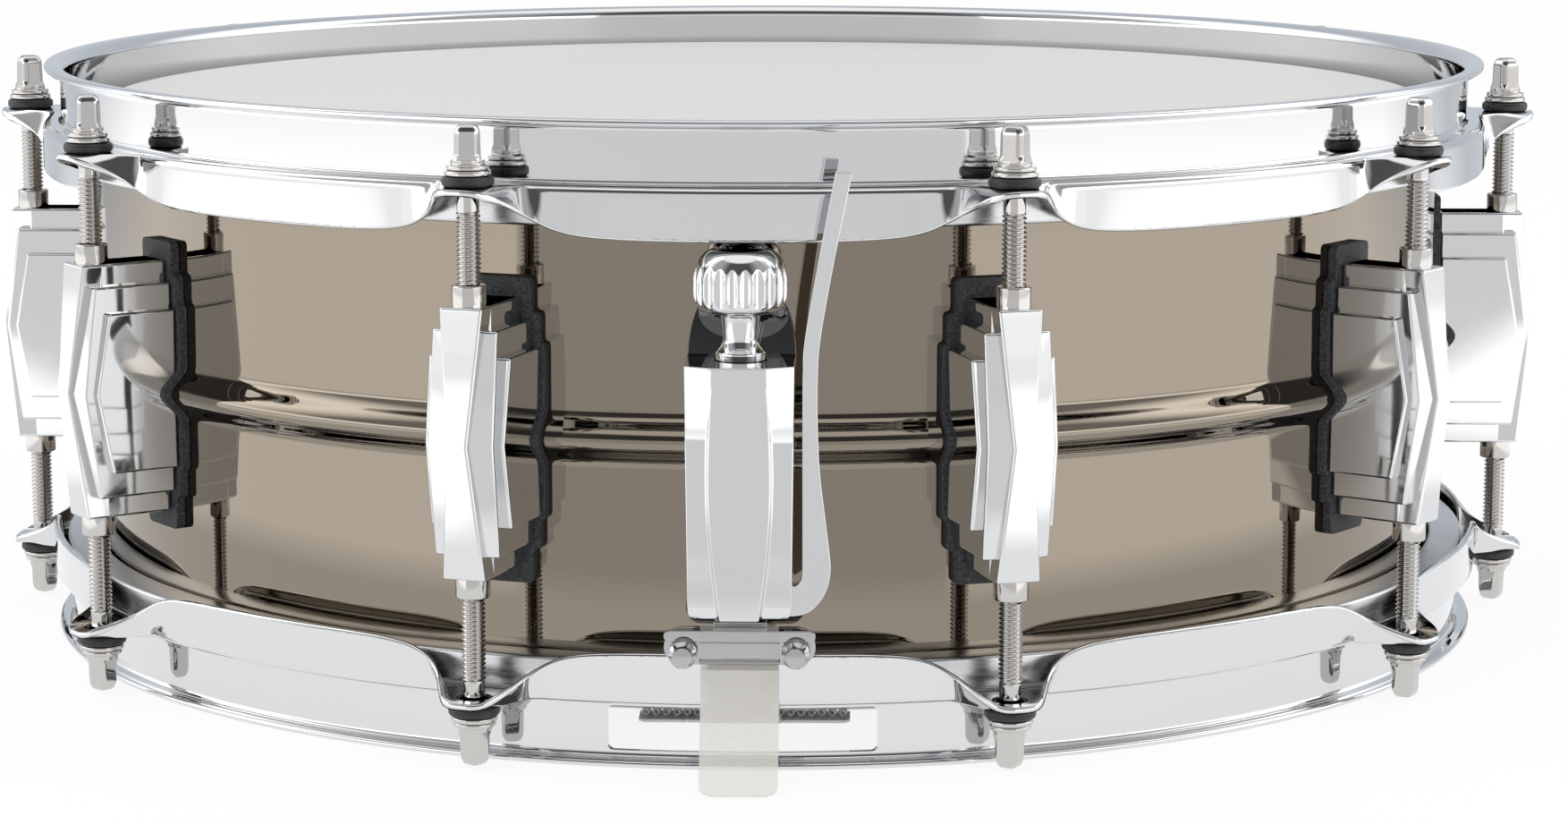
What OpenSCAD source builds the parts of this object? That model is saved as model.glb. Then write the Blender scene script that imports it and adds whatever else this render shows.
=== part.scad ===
// Snare drum: a beaded metal shell with two heads, two flanged steel hoops, ten double-ended
// lugs, twenty tension rods, a side-throw strainer, a butt plate and a set of snare wires.
// The drum axis is Z and the drum stands on the rim of its lower hoop at z = 0.
// The strainer faces -Y. Angles are counted from it, positive towards +X.
// Modules work about the drum's middle plane, and the last lines lift them onto the rim.

/* [Shell] */
// Outside diameter of the shell wall
shell_d = 355; // [340:1:370]
// Depth of the shell from bearing edge to bearing edge
shell_h = 127; // [122:1:165]
// Wall thickness of the shell
shell_t = 1.2; // [0.8:0.1:2]
// Height of the bead round the middle, with its fillets
bead_h = 13.5; // [10:0.5:16]
// How far the bead stands out of the wall
bead_out = 4.5; // [2.5:0.5:6]
// Width of the edges that are turned in under the heads
edge_in = 4.5; // [3:0.5:5.5]
// Hole of the air vent
vent_d = 7; // [5:0.5:9]
// Height of the air vent above the middle
vent_z = 26; // [20:1:32]
// Angle of the air vent
vent_angle = 72; // [66:1:76]

/* [Heads] */
// Thickness of the drum head film
film_t = 0.35; // [0.2:0.05:0.6]
// Width of the flesh hoop that holds the film
flesh_w = 8.6; // [7.5:0.1:9.5]
// Height of the flesh hoop
flesh_h = 8; // [6:0.5:9]

/* [Hoops] */
// Sheet thickness of the hoops
hoop_t = 1.6; // [1.2:0.1:2.3]
// Height of the rim above the bearing edge
rim_rise = 10.5; // [9.5:0.5:14]
// Depth of the flange below the bearing edge
flange_drop = 4.35; // [3.8:0.05:5]
// How far the flange reaches in over the flesh hoop
flange_grip = 2.85; // [2.7:0.05:3.5]
// How far the rolled lip stands out of the hoop wall
lip_out = 4; // [3.5:0.1:5]
// Depth of the skirt between the ears
skirt_h = 12.45; // [10:0.05:13]
// Distance of the skirt outside the hoop wall between the ears
skirt_out = 4.7; // [4.4:0.1:5.6]
// Distance from a rod's centre to the outer edge of its ear
ear_out = 7.4; // [6.8:0.1:8]
// Half of the straight width of an ear's outer edge
ear_flat = 2.6; // [2:0.1:5]
// Width of the curve from an ear in and down to the skirt
ear_blend = 19.5; // [17:0.5:26]
// Width of the snare gates in the lower hoop
gate_w = 62; // [54:1:70]
// Height of the snare gates
gate_h = 10.5; // [10:0.1:10.8]

/* [Tension rods] */
// Distance of the rods outside the hoop wall
rod_out = 11.7; // [10.5:0.1:13]
// Thread diameter of the rods
rod_d = 5.5; // [4.5:0.1:6]
// Hole for a rod in the hoop ears
rod_hole_d = 8.4; // [6.6:0.1:9]
// Length of thread held in the nut
rod_grip = 13; // [10:0.5:15]
// Collar diameter of the rod head
collar_d = 10; // [9.4:0.1:10.6]
// Collar thickness
collar_t = 1.1; // [0.8:0.1:1.5]
// Height of the rod head from under the collar
head_h = 10.2; // [9:0.1:11]
// Width of the square key end
key_w = 6.3; // [5.8:0.1:6.8]
// Diameter of the steel washer
washer_d = 11; // [10:0.1:12]
// Thickness of the steel washer
washer_t = 1.3; // [0.8:0.1:1.6]
// Diameter of the rubber cushion under the washer
cushion_d = 12.2; // [11:0.1:13]
// Thickness of the rubber cushion
cushion_t = 2.4; // [1.6:0.1:2.8]

/* [Lugs] */
// Height of the lug's front face
lug_h = 62; // [54:1:66]
// Height of the lugs' middle above the middle of the shell
lug_rise = 1.4; // [0:0.1:2]
// Width of the front face at its ends
face_w = 10.5; // [10:0.1:12]
// Width of the front face at its waist
waist_w = 5.2; // [4:0.1:8]
// How far the front face stands ahead of the rods
face_front = 5.1; // [4.6:0.1:6]
// How far each step comes forward at its waist
waist_front = 3.5; // [1:0.1:4]
// Width of the middle step
mid_w = 15.8; // [14:0.1:17]
// Height of the middle step
mid_h = 51.6; // [48:0.2:53]
// How far the middle step lies behind the front face
mid_back = 2; // [1:0.1:3]
// Width of the outer step
low_w = 20; // [18.5:0.1:22]
// Height of the outer step
low_h = 39; // [36:0.5:44]
// How far the outer step lies behind the front face
low_back = 4.8; // [4:0.1:6]
// Thickness of the rubber gasket behind each lug
gasket_t = 2.4; // [1.6:0.1:4.5]
// Margin of the gasket round the outer step; the steps in front of it have twice and three times as much
gasket_rim = 0.8; // [0.5:0.1:1]
// How much further the gasket reaches above and below the lug
gasket_tail = 2; // [0:0.1:4]
// Diameter of the tube nuts
nut_d = 8; // [7.6:0.1:8.6]
// How far a tube nut stands out of the lug
nut_out = 4.7; // [3:0.1:6]
// Length of a tube nut inside the lug
nut_in = 16.5; // [15.5:0.1:18]
// Thread diameter of the screws that hold lugs, strainer and butt
screw_d = 4; // [3:0.1:5]
// Head diameter of those screws
screw_head_d = 7.5; // [6.5:0.1:8.5]
// Height of those screws above and below the middle of a lug
screw_z = 14; // [12.5:0.1:16]

/* [Strainer] */
// Width of the strainer body at its top
body_top_w = 24.6; // [23:0.1:28]
// Width of the strainer body at its bottom
body_low_w = 23.2; // [22:0.1:26]
// Wall thickness of the strainer body
body_wall = 1.5; // [1.2:0.1:2]
// How far the front panel stands out of the body
panel_out = 2; // [1:0.1:3]
// Widest part of the front panel
panel_w = 13.3; // [11:0.1:15]
// Width of the front panel at its ends
panel_end_w = 9.4; // [8:0.1:10.5]
// Height of the base's arch above the body
arch_h = 19; // [12:0.5:20]
// Width of the sliding block
slide_w = 13; // [11:0.1:14]
// Thickness of the sliding block
slide_t = 7; // [6.4:0.1:8]
// Height of the sliding block
slide_h = 22; // [16:0.5:24]
// Diameter of the tension knob
knob_d = 21.2; // [18:0.1:22]
// Height of the tension knob
knob_h = 14.2; // [12:0.1:15.5]
// Space between the knob and the skirt above it
knob_gap = 0.8; // [0.6:0.1:3]
// Length of the knob's neck above the body
neck_h = 10.8; // [8.4:0.1:11.5]
// Flutes round the knob
knob_flutes = 22; // [16:1:28]
// Thread diameter of the knob's spindle
spindle_d = 4; // [3.4:0.1:4.6]

/* [Lever] */
// Thickness of the lever
lever_t = 3.6; // [3:0.1:4.2]
// Width of the lever's stem
lever_w = 3.7; // [3:0.1:5]
// Space between the lever and the hoop skirt
lever_gap = 7; // [6.7:0.1:8.5]
// Space between the lever and the side of the body
lever_side = 1.6; // [1.2:0.1:3]
// Sideways lean of the lever's upper half
lever_lean = 7.3; // [3:0.1:10]
// Height of the lever's tip above the hoop flange
lever_rise = 5; // [0:0.5:9]
// Extra width of the lever's foot
lever_foot = 2.6; // [1:0.1:4]
// Radius of the lever's boss
boss_r = 4.4; // [3.6:0.1:4.6]
// Diameter of the lever's pivot pin
pivot_d = 4; // [3:0.1:4.6]

/* [Snare clamps] */
// Width of the clamp jaws
clamp_w = 34; // [32:0.2:37]
// Height of the clamp jaws
clamp_h = 8; // [7.6:0.1:9]
// Space between the body and the clamp
clamp_gap = 2.6; // [2.6:0.1:4]
// Space between the clamp jaws and the hoop skirt
jaw_gap = 6.3; // [6:0.1:7]
// Thickness of the fixed jaw
jaw_t = 1.6; // [1.2:0.1:2]
// Thickness of the clamp plate
plate_t = 3.2; // [2.6:0.1:4]
// Distance between the clamp screws
clamp_screw_gap = 25.2; // [24.4:0.1:26]
// Thread diameter of the clamp screws
clamp_screw_d = 3; // [2.5:0.1:3.4]
// Width of the butt plate on the shell
butt_w = 26; // [22:0.5:30]

/* [Snares] */
// Width of the plastic straps
strap_w = 17.6; // [14:0.2:18]
// Thickness of the plastic straps
strap_t = 0.5; // [0.3:0.05:0.6]
// Number of strands
strand_count = 20; // [12:2:22]
// Outside diameter of a coiled strand
strand_d = 2; // [1.6:0.1:2.2]
// Distance between strands
strand_gap = 2.4; // [2.3:0.05:2.6]
// Length of the end plates along the strands
end_plate_l = 9; // [7:0.5:12]
// Thickness of the end plates
end_plate_t = 0.8; // [0.6:0.1:1]

/* [Fits] */
// Gap between pieces that are seated on each other
seat_gap = 0.05; // [0.02:0.01:0.08]
// Radial gap of a running fit
run_gap = 0.05; // [0.02:0.01:0.08]
// Gap beside pieces that move past each other
move_gap = 0.3; // [0.25:0.05:0.4]

/* [Hidden] */
$fn = 96;
LUGS = 10;
lug_step = 360 / LUGS;

// Radii from the shell outwards
shell_r = shell_d / 2;
half_h = shell_h / 2;
film_out = seat_gap + film_t;
flesh_in_r = shell_r + film_out + seat_gap;
flesh_out_r = flesh_in_r + flesh_w;
wall_in_r = flesh_out_r - flange_grip;
wall_out_r = wall_in_r + hoop_t;
lip_r = wall_out_r + lip_out;
rod_r = wall_out_r + rod_out;
band_r = wall_out_r + skirt_out;
ear_r = rod_r + ear_out;

// Heights above the middle plane
rim_z = half_h + rim_rise;
flange_z = half_h - flange_drop;
skirt_z = flange_z - skirt_h;
flesh_z = flange_z - hoop_t - seat_gap;
washer_z = flange_z + cushion_t;
collar_z = washer_z + washer_t + 2 * seat_gap;
head_z = collar_z + head_h;
lug_z = lug_h / 2;
tip_z = lug_z + lug_rise - rod_grip;
gate_z = flange_z + 1.15;

// Bend radii of the hoop sheet
lip_bend = hoop_t + 1.4;
wall_bend = 1;

// Strainer stations from the shell outwards
lever_in_r = band_r + lever_gap;
lever_out_r = lever_in_r + lever_t;
body_front_r = lever_out_r + move_gap + body_wall;
web_in_r = lever_in_r - move_gap - body_wall;
slide_out_r = web_in_r - move_gap;
slide_in_r = slide_out_r - slide_t;
spindle_r = (slide_in_r + slide_out_r) / 2;
base_front_r = slide_in_r - move_gap;
arch_front_r = spindle_r - knob_d / 2 - 2 * move_gap;
jaw_in_r = band_r + jaw_gap;
jaw_out_r = jaw_in_r + jaw_t;
plate_in_r = jaw_out_r + strap_t + 2 * seat_gap;
plate_out_r = plate_in_r + plate_t;

// Strainer heights
knob_z = skirt_z - knob_gap;
knob_low_z = knob_z - knob_h;
body_z = knob_low_z - neck_h;
clamp_low_z = -skirt_z;
clamp_z = clamp_low_z + clamp_h;
body_low_z = clamp_z + clamp_gap;
slide_z = body_z - body_wall - move_gap;
slide_low_z = slide_z - slide_h;
stem_z = slide_low_z - 3;
screw_row_z = clamp_low_z + 3;
pivot_x = body_low_w / 2 - 2.6;
pivot_z = body_low_z + boss_r + 0.4;
foot_z = pivot_z + 6.4;
base_screw_zs = [body_z - 9, body_low_z + 12];
drop_room = 7;
butt_top_z = -bead_h / 2 - 2.5;
butt_screw_zs = [butt_top_z - 6, butt_top_z - 20];

// Snare wires under the lower head
strand_z = -half_h - film_out - move_gap - strand_d / 2;
end_plate_z = strand_z - strand_d / 2 - seat_gap;
wire_r = shell_r - 5.7;
strand_r = wire_r - 1.8;
end_plate_w = strand_count * strand_gap + 1;

function tag(i) = str(i < 10 ? "0" : "", i);
lug_names = [for (i = [1:LUGS]) str("lug_", tag(i))];
batter_rod_names = [for (i = [1:LUGS]) str("batter_rod_", tag(i))];
snare_rod_names = [for (i = [1:LUGS]) str("snare_rod_", tag(i))];

chrome = "#d8dadc";
black_nickel = "#7f766a";
rubber = "#26272a";
film_white = "#e8e6e2";
film_clear = "#d9dfe2";
satin = "#b9bbbd";
milky = "#e4e1dc";

// Outline tools
function turned(v) = [for (i = [len(v) - 1:-1:0]) v[i]];
function arc(c, r, a0, a1, n = 6) =
    [for (i = [0:n]) let (a = a0 + (a1 - a0) * i / n) c + r * [cos(a), sin(a)]];
function unit(v) = v / norm(v);
function side_of(p, i) =
    let (d = unit(p[min(i + 1, len(p) - 1)] - p[max(i - 1, 0)])) [-d[1], d[0]];
// A thin strip of thickness t along the points p
function ribbon(p, t) = concat(
    [for (i = [0:len(p) - 1]) p[i] + side_of(p, i) * t / 2],
    turned([for (i = [0:len(p) - 1]) p[i] - side_of(p, i) * t / 2])
);

// Turns a piece that is drawn at the front to an angle round the drum
module at_angle(angle) rotate([0, 0, angle]) children();
function lug_angle(i) = (i - 0.5) * lug_step;
// Draws a piece at the front for every lug
module at_lugs() for (i = [1:LUGS]) at_angle(lug_angle(i)) children();
// Draws a piece on the batter side and its mirror on the snare side
module both_sides() {
    children();
    mirror([0, 0, 1]) children();
}
// Extrudes an outline of radius and height sideways across the front
module across(w) rotate([90, 0, -90]) linear_extrude(w, center = true) children();
// Extrudes an outline of x and z outwards between two radii
module outwards(r0, r1) rotate([90, 0, 0]) translate([0, 0, r0]) linear_extrude(r1 - r0) children();
// A round rod that points outwards between two radii
module spoke(d, r0, r1, x = 0, z = 0)
    translate([x, 0, z]) rotate([90, 0, 0]) translate([0, 0, r0]) cylinder(d = d, h = r1 - r0);
// A bar with round ends, w wide and h high, centred on x = 0 and standing on z
module round_bar(w, h, z) {
    translate([-w / 2 + h / 2, z]) square([w - h, h]);
    for (s = [-1, 1]) translate([s * (w - h) / 2, z + h / 2]) circle(d = h);
}

// The shell's outer line with its bead, moved out by off, from low to high
function bead(z) = bead_out * (1 + cos(360 * z / bead_h)) / 2;
function bead_line(off, n = 16) =
    [for (i = [0:n]) let (z = bead_h * (i / n - 0.5)) [shell_r + bead(z) + off, z]];
// Everything within the shell's outer line moved out by off, between two heights
module within_shell(off, low, high) rotate_extrude($fn = 360) polygon(concat(
    [[0, low], [shell_r + off, low]],
    bead_line(off),
    [[shell_r + off, high], [0, high]]
));

module shell() color(black_nickel) difference() {
    inner_in = edge_in + shell_t * sqrt(0.5);
    inner_z = half_h - shell_t * sqrt(0.5);
    inner_corner_z = half_h - edge_in - shell_t * tan(22.5);
    rotate_extrude() polygon(concat(
        [[shell_r - edge_in, -half_h], [shell_r, edge_in - half_h]],
        bead_line(0),
        [[shell_r, half_h - edge_in], [shell_r - edge_in, half_h]],
        [[shell_r - inner_in, inner_z], [shell_r - shell_t, inner_corner_z]],
        turned(bead_line(-shell_t)),
        [[shell_r - shell_t, -inner_corner_z], [shell_r - inner_in, -inner_z]]
    ));
    at_lugs() for (s = [-1, 1]) screw_hole(lug_rise + s * screw_z);
    for (z = base_screw_zs) screw_hole(z);
    at_angle(180) for (z = butt_screw_zs) screw_hole(z);
    at_angle(vent_angle) spoke(vent_d + 2.4, shell_r - 5, shell_r + 5, z = vent_z);
}
module screw_hole(z) spoke(screw_d + 0.5, shell_r - 5, shell_r + 5, z = z);

module vent_grommet() color(rubber) at_angle(vent_angle)
translate([0, 0, vent_z]) rotate([90, 0, 0]) translate([0, 0, shell_r]) difference() {
    lip = 2.4;
    flat_gap = 0.15;
    union() {
        translate([0, 0, flat_gap]) cylinder(d = vent_d + 2 * lip, h = 1.6);
        translate([0, 0, -shell_t - 2]) cylinder(d = vent_d + lip - 0.1, h = shell_t + 2.5);
        translate([0, 0, -shell_t - 1.7 - flat_gap]) cylinder(d = vent_d + 2 * lip, h = 1.5);
    }
    translate([0, 0, -10]) cylinder(d = vent_d, h = 20);
}

// How far the hoop's edge has gone from an ear to the skirt, at an angle from the ear
function ear_fall(a) =
    let (u = (rod_r * abs(a) * PI / 180 - ear_flat) / ear_blend)
    (1 - cos(180 * min(1, max(0, u)))) / 2;
function edge_r(a) = ear_r - (ear_r - band_r) * ear_fall(a);
// The hoop's plan, drawn in by inset at right angles to its edge
function edge_point(angle, a, inset) =
    let (slope = (edge_r(a + 0.1) - edge_r(a - 0.1)) * 900 / PI, n = norm([edge_r(a), slope]))
    edge_r(a) * (1 - inset / n) * [sin(angle), -cos(angle)] + inset * slope / n * [cos(angle), sin(angle)];
function hoop_plan(inset) = [for (i = [1:LUGS], k = [-10:11])
    let (a = lug_step / 2 * sign(k) * pow(abs(k) / 11, 1.5)) edge_point(lug_angle(i) + a, a, inset)];
// One hoop, drawn for the batter side
module hoop() color(chrome) difference() {
    lip_c = [wall_in_r + lip_bend, rim_z - lip_bend];
    wall_c = [wall_out_r + wall_bend, flange_z + wall_bend];
    flange_in_r = wall_out_r + wall_bend;
    union() {
        rotate_extrude() polygon(concat(
            [[flange_in_r + 1, flange_z - hoop_t], [flange_in_r + 1, flange_z]],
            arc(wall_c, wall_bend, 270, 180),
            arc(lip_c, lip_bend - hoop_t, 180, 90),
            [[lip_r, rim_z - hoop_t], [lip_r, rim_z]],
            arc(lip_c, lip_bend, 90, 180),
            arc(wall_c, wall_bend + hoop_t, 180, 270)
        ));
        difference() {
            translate([0, 0, skirt_z]) linear_extrude(skirt_h) polygon(hoop_plan(0));
            translate([0, 0, skirt_z - 1]) linear_extrude(skirt_h - hoop_t + 1) polygon(hoop_plan(hoop_t));
            translate([0, 0, skirt_z]) cylinder(r = flange_in_r, h = skirt_h + 1);
        }
    }
    at_lugs() {
        translate([0, -rod_r, flange_z - hoop_t - 1]) cylinder(d = rod_hole_d, h = hoop_t + 2);
        outwards(band_r - 3, ear_r + 1) ear_cut();
    }
}
// The part of the skirt that is cut away round an ear
module ear_cut() {
    top = flange_z - hoop_t + 0.1;
    edge = [for (i = [0:10]) let (a = (ear_flat + ear_blend * i / 10) / rod_r * 180 / PI)
        [edge_r(a) * sin(a), top - (top - skirt_z) * ear_fall(a)]];
    reach = edge[10][0];
    polygon(concat(
        [[-reach, skirt_z - 1]],
        turned([for (p = edge) [-p[0], p[1]]]),
        edge,
        [[reach, skirt_z - 1]]
    ));
}
module batter_hoop() hoop();
module snare_hoop() color(chrome) difference() {
    mirror([0, 0, 1]) hoop();
    for (a = [0, 180]) at_angle(a) outwards(wall_in_r - 4, wall_out_r + 3) gate();
}
// A slot with round corners through the wall of the lower hoop
module gate() {
    corner = 1.5;
    translate([-gate_w / 2 + corner, -gate_z - gate_h]) square([gate_w - 2 * corner, gate_h]);
    translate([-gate_w / 2, -gate_z - gate_h + corner]) square([gate_w, gate_h - 2 * corner]);
    for (x = [-1, 1], z = [corner, gate_h - corner])
        translate([x * (gate_w / 2 - corner), -gate_z - z]) circle(corner);
}

// The film's line over the bearing edge, off away from the shell, from the centre outwards
function film_line(off) = let (k = off * tan(22.5)) [
    [0, half_h + off],
    [shell_r - edge_in + k, half_h + off],
    [shell_r + off, half_h - edge_in + k],
    [shell_r + off, flesh_z - flesh_h / 2]
];
module film(tint) color(tint) rotate_extrude()
    polygon(concat(film_line(seat_gap), turned(film_line(film_out))));
module flesh_hoop() color(satin) rotate_extrude()
    translate([flesh_in_r, flesh_z - flesh_h]) square([flesh_w, flesh_h]);
module batter_head() film(film_white);
module snare_head() mirror([0, 0, 1]) film(film_clear);
module batter_flesh_hoop() flesh_hoop();
module snare_flesh_hoop() mirror([0, 0, 1]) flesh_hoop();

// One step of a lug: w wide, h high, with its front pointed at the waist
module lug_step_block(w, h, back) {
    front = rod_r + face_front - back;
    across(w) polygon([
        [shell_r, -h / 2], [front, -h / 2], [front + waist_front, 0],
        [front, h / 2], [shell_r, h / 2]
    ]);
}
module lug(i) color(chrome) at_angle(lug_angle(i)) difference() {
    translate([0, 0, lug_rise]) difference() {
        union() {
            intersection() {
                lug_step_block(face_w, lug_h, 0);
                outwards(shell_r, rod_r + face_front + waist_front + 1) union() {
                    polygon([
                        [-face_w / 2, -lug_z], [face_w / 2, -lug_z], [waist_w / 2, 0],
                        [face_w / 2, lug_z], [-face_w / 2, lug_z], [-waist_w / 2, 0]
                    ]);
                }
            }
            lug_step_block(mid_w, mid_h, mid_back);
            lug_step_block(low_w, low_h, low_back);
            intersection() {
                lug_step_block(face_w, lug_h, 0);
                across(face_w) translate([shell_r, -lug_z])
                    square([rod_r - shell_r + face_front - low_back, lug_h]);
            }
        }
        both_sides() {
            translate([0, -rod_r, lug_z - nut_in - move_gap])
                cylinder(d = nut_d + 2 * seat_gap, h = nut_in + 2);
            spoke(screw_d + 2 * seat_gap, shell_r, rod_r - nut_d / 2 - 2.5, z = screw_z);
        }
    }
    within_shell(gasket_t + 2 * seat_gap, -lug_h, lug_h);
}
module lug_gaskets() color(rubber) difference() {
    gasket_sizes = [[low_w, low_h], [mid_w, mid_h], [face_w, lug_h + 2 * gasket_tail]];
    intersection() {
        at_lugs() outwards(shell_r - 5, rod_r) translate([0, lug_rise]) for (k = [1:3])
            square(gasket_sizes[k - 1] + 2 * k * gasket_rim * [1, 1], center = true);
        within_shell(seat_gap + gasket_t, -lug_h, lug_h);
    }
    within_shell(seat_gap, -2 * lug_h, 2 * lug_h);
    at_lugs() for (s = [-1, 1]) screw_hole(lug_rise + s * screw_z);
}
module lug_nuts() color(chrome) at_lugs() translate([0, 0, lug_rise]) both_sides()
translate([0, -rod_r, lug_z - nut_in]) difference() {
    cylinder(d = nut_d, h = nut_in + nut_out);
    translate([0, 0, -1]) cylinder(d = rod_d + 2 * run_gap, h = nut_in + nut_out + 2);
}
// A screw from inside the shell, with its head on the shell wall
module shell_screw(z, depth) {
    head_r = shell_r - shell_t - 0.12;
    spoke(screw_d, head_r - 1, shell_r + depth, z = z);
    spoke(screw_head_d, head_r - 2.6, head_r, z = z);
}
module lug_screws() color(satin) at_lugs() for (s = [-1, 1])
    shell_screw(lug_rise + s * screw_z, rod_r - nut_d / 2 - 3.5 - shell_r);
module mount_screws() color(satin) {
    for (z = base_screw_zs) shell_screw(z, bead_out + 1.8);
    at_angle(180) for (z = butt_screw_zs) shell_screw(z, 6);
}

// A tension rod on the batter side, drawn at the front
module tension_rod() color(chrome) translate([0, -rod_r, 0]) {
    boss_z = collar_z + collar_t;
    boss_h = 3.6;
    translate([0, 0, tip_z]) cylinder(d = rod_d, h = collar_z - tip_z + 0.5);
    translate([0, 0, collar_z]) cylinder(d = collar_d, h = collar_t);
    translate([0, 0, boss_z]) cylinder(d1 = key_w * 1.38, d2 = key_w * 1.18, h = boss_h);
    intersection() {
        translate([-key_w / 2, -key_w / 2, boss_z]) cube([key_w, key_w, head_z - boss_z]);
        translate([0, 0, boss_z]) rotate_extrude() polygon(concat(
            [[0, 0], [key_w * 0.68, 0]],
            arc([key_w * 0.68 - 2.4, head_z - boss_z - 2.4], 2.4, 0, 90),
            [[0, head_z - boss_z]]
        ));
    }
}
module batter_rod(i) at_angle(lug_angle(i)) tension_rod();
module snare_rod(i) at_angle(lug_angle(i)) mirror([0, 0, 1]) tension_rod();
// A washer round a rod, standing on z
module rod_ring(d, t, z) translate([0, -rod_r, z]) difference() {
    cylinder(d = d, h = t);
    translate([0, 0, -1]) cylinder(d = rod_d + 1, h = t + 2);
}
module rod_washers() color(chrome) at_lugs() both_sides()
    rod_ring(washer_d, washer_t, washer_z + seat_gap);
module rod_cushions() color(rubber) at_lugs() both_sides()
    rod_ring(cushion_d, cushion_t - seat_gap, flange_z + seat_gap);

// The strainer's front outline between two heights, drawn in by inset
function body_half(z, inset) =
    body_low_w / 2 + (body_top_w - body_low_w) / 2 * (z - body_low_z) / (body_z - body_low_z) - inset;
module body_outline(inset = 0) polygon([
    [-body_half(body_low_z, inset), body_low_z + inset], [body_half(body_low_z, inset), body_low_z + inset],
    [body_half(body_z, inset), body_z - inset], [-body_half(body_z, inset), body_z - inset]
]);
// The base is a box on the shell, open to the front, with an arch that stands above the body
module strainer_base() color(chrome) difference() {
    wall = 2;
    arch = [for (p = arc([0, 0], 1, 0, 180, 16)) [p[0] * body_top_w / 2, body_z - 1 + p[1] * (arch_h + 1)]];
    union() {
        outwards(shell_r - 4, base_front_r) body_outline();
        outwards(shell_r - 4, arch_front_r) polygon(arch);
    }
    outwards(shell_r + bead_out + 2, base_front_r + 1) body_outline(wall);
    neck_opening();
    within_shell(seat_gap, -shell_h, shell_h);
    for (z = base_screw_zs) spoke(screw_d + 2 * seat_gap, shell_r - 5, shell_r + bead_out + 3, z = z);
}
module strainer_body() color(chrome) difference() {
    panel = [for (i = [0:12]) let (u = i / 12)
        [panel_end_w / 2 + (panel_w - panel_end_w) / 2 * sin(180 * pow(u, 0.9)),
         body_low_z + (body_z - body_low_z) * u]];
    union() {
        outwards(base_front_r + seat_gap, body_front_r) body_outline();
        outwards(body_front_r - 0.5, body_front_r + panel_out)
            polygon(concat(panel, turned([for (p = panel) [-p[0], p[1]]])));
    }
    // Cavity of the sliding block, open below and behind
    outwards(base_front_r, web_in_r)
        translate([-slide_w / 2 - move_gap, body_low_z - 1])
            square([slide_w + 2 * move_gap, slide_z + move_gap - body_low_z + 1]);
    neck_opening();
    // Slot of the lever, open below and to the right
    outwards(lever_in_r - move_gap, lever_out_r + move_gap)
        translate([pivot_x - boss_r - move_gap, body_low_z - 1])
            square([body_top_w, pivot_z + boss_r + move_gap - body_low_z + 1]);
    spoke(pivot_d + 2 * seat_gap, web_in_r - 1, lever_out_r + move_gap + 1.1, x = pivot_x, z = pivot_z);
}
function neck_d() = slide_t + 4.3;
// Round opening in which the knob's neck goes down when the lever is thrown
module neck_opening() translate([0, -spindle_r, slide_z - drop_room])
    cylinder(d = neck_d() + 2 * move_gap, h = drop_room + 10);
module strainer_slide() color(satin) difference() {
    outwards(slide_in_r, slide_out_r)
        translate([-slide_w / 2, slide_low_z]) square([slide_w, slide_h]);
    translate([0, -spindle_r, slide_low_z - 1]) cylinder(d = spindle_d + 2 * run_gap, h = slide_h + 2);
}
module lever_pivot() color(satin)
    spoke(pivot_d, web_in_r + move_gap, lever_out_r + move_gap + 1, x = pivot_x, z = pivot_z);
// A flat lever with a foot that turns under the body to its boss
module strainer_lever() color(chrome) difference() {
    x0 = body_top_w / 2 + lever_side;
    x1 = x0 + lever_w;
    foot_x = x1 + lever_foot;
    heel_z = pivot_z - boss_r + 0.2;
    lever_tip_z = flange_z + lever_rise;
    knee_z = body_z + 1.5;
    heel = [for (p = arc([0, 0], 1, 0, 90, 10))
        [pivot_x + 2.4 + p[0] * (foot_x - pivot_x - 2.4), foot_z - p[1] * (foot_z - heel_z)]];
    outwards(lever_in_r, lever_out_r) {
        polygon(concat(
            [[x0, foot_z], [x0, knee_z], [x0 + lever_lean, lever_tip_z]],
            [[x1 + lever_lean, lever_tip_z + 0.6], [x1, knee_z]],
            heel,
            [[pivot_x, heel_z], [pivot_x, pivot_z + 3], [x0 - 1.4, pivot_z + 2], [x0, pivot_z + 3.4]]
        ));
        translate([pivot_x, pivot_z]) circle(boss_r);
    }
    spoke(pivot_d + 2 * run_gap, lever_in_r - 1, lever_out_r + 1, x = pivot_x, z = pivot_z);
}
// The knob with its flared neck and threaded spindle
module tension_knob() color(chrome) translate([0, -spindle_r, 0]) difference() {
    r = knob_d / 2;
    neck_z = slide_z + move_gap;
    waist_z = body_z + 3.8;
    union() {
        translate([0, 0, stem_z - 13]) cylinder(d = spindle_d, h = neck_z - stem_z + 14);
        rotate_extrude() polygon(concat(
            [[0, neck_z], [neck_d() / 2, neck_z], [neck_d() / 2, body_z + 0.8]],
            [[3.75, waist_z], [4.3, knob_low_z], [r - 2, knob_low_z]],
            arc([r - 2.2, knob_low_z + 2.2], 2.2, 270, 360),
            arc([r - 3, knob_z - 3], 3, 0, 75),
            [[r - 4, knob_z], [r - 5, knob_z - 0.6], [0, knob_z - 0.8]]
        ));
    }
    for (i = [0:knob_flutes - 1]) rotate([0, 0, i * 360 / knob_flutes])
        translate([r + 0.35, 0, knob_low_z - 1]) cylinder(d = 2.2, h = knob_h - 3);
}

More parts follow.
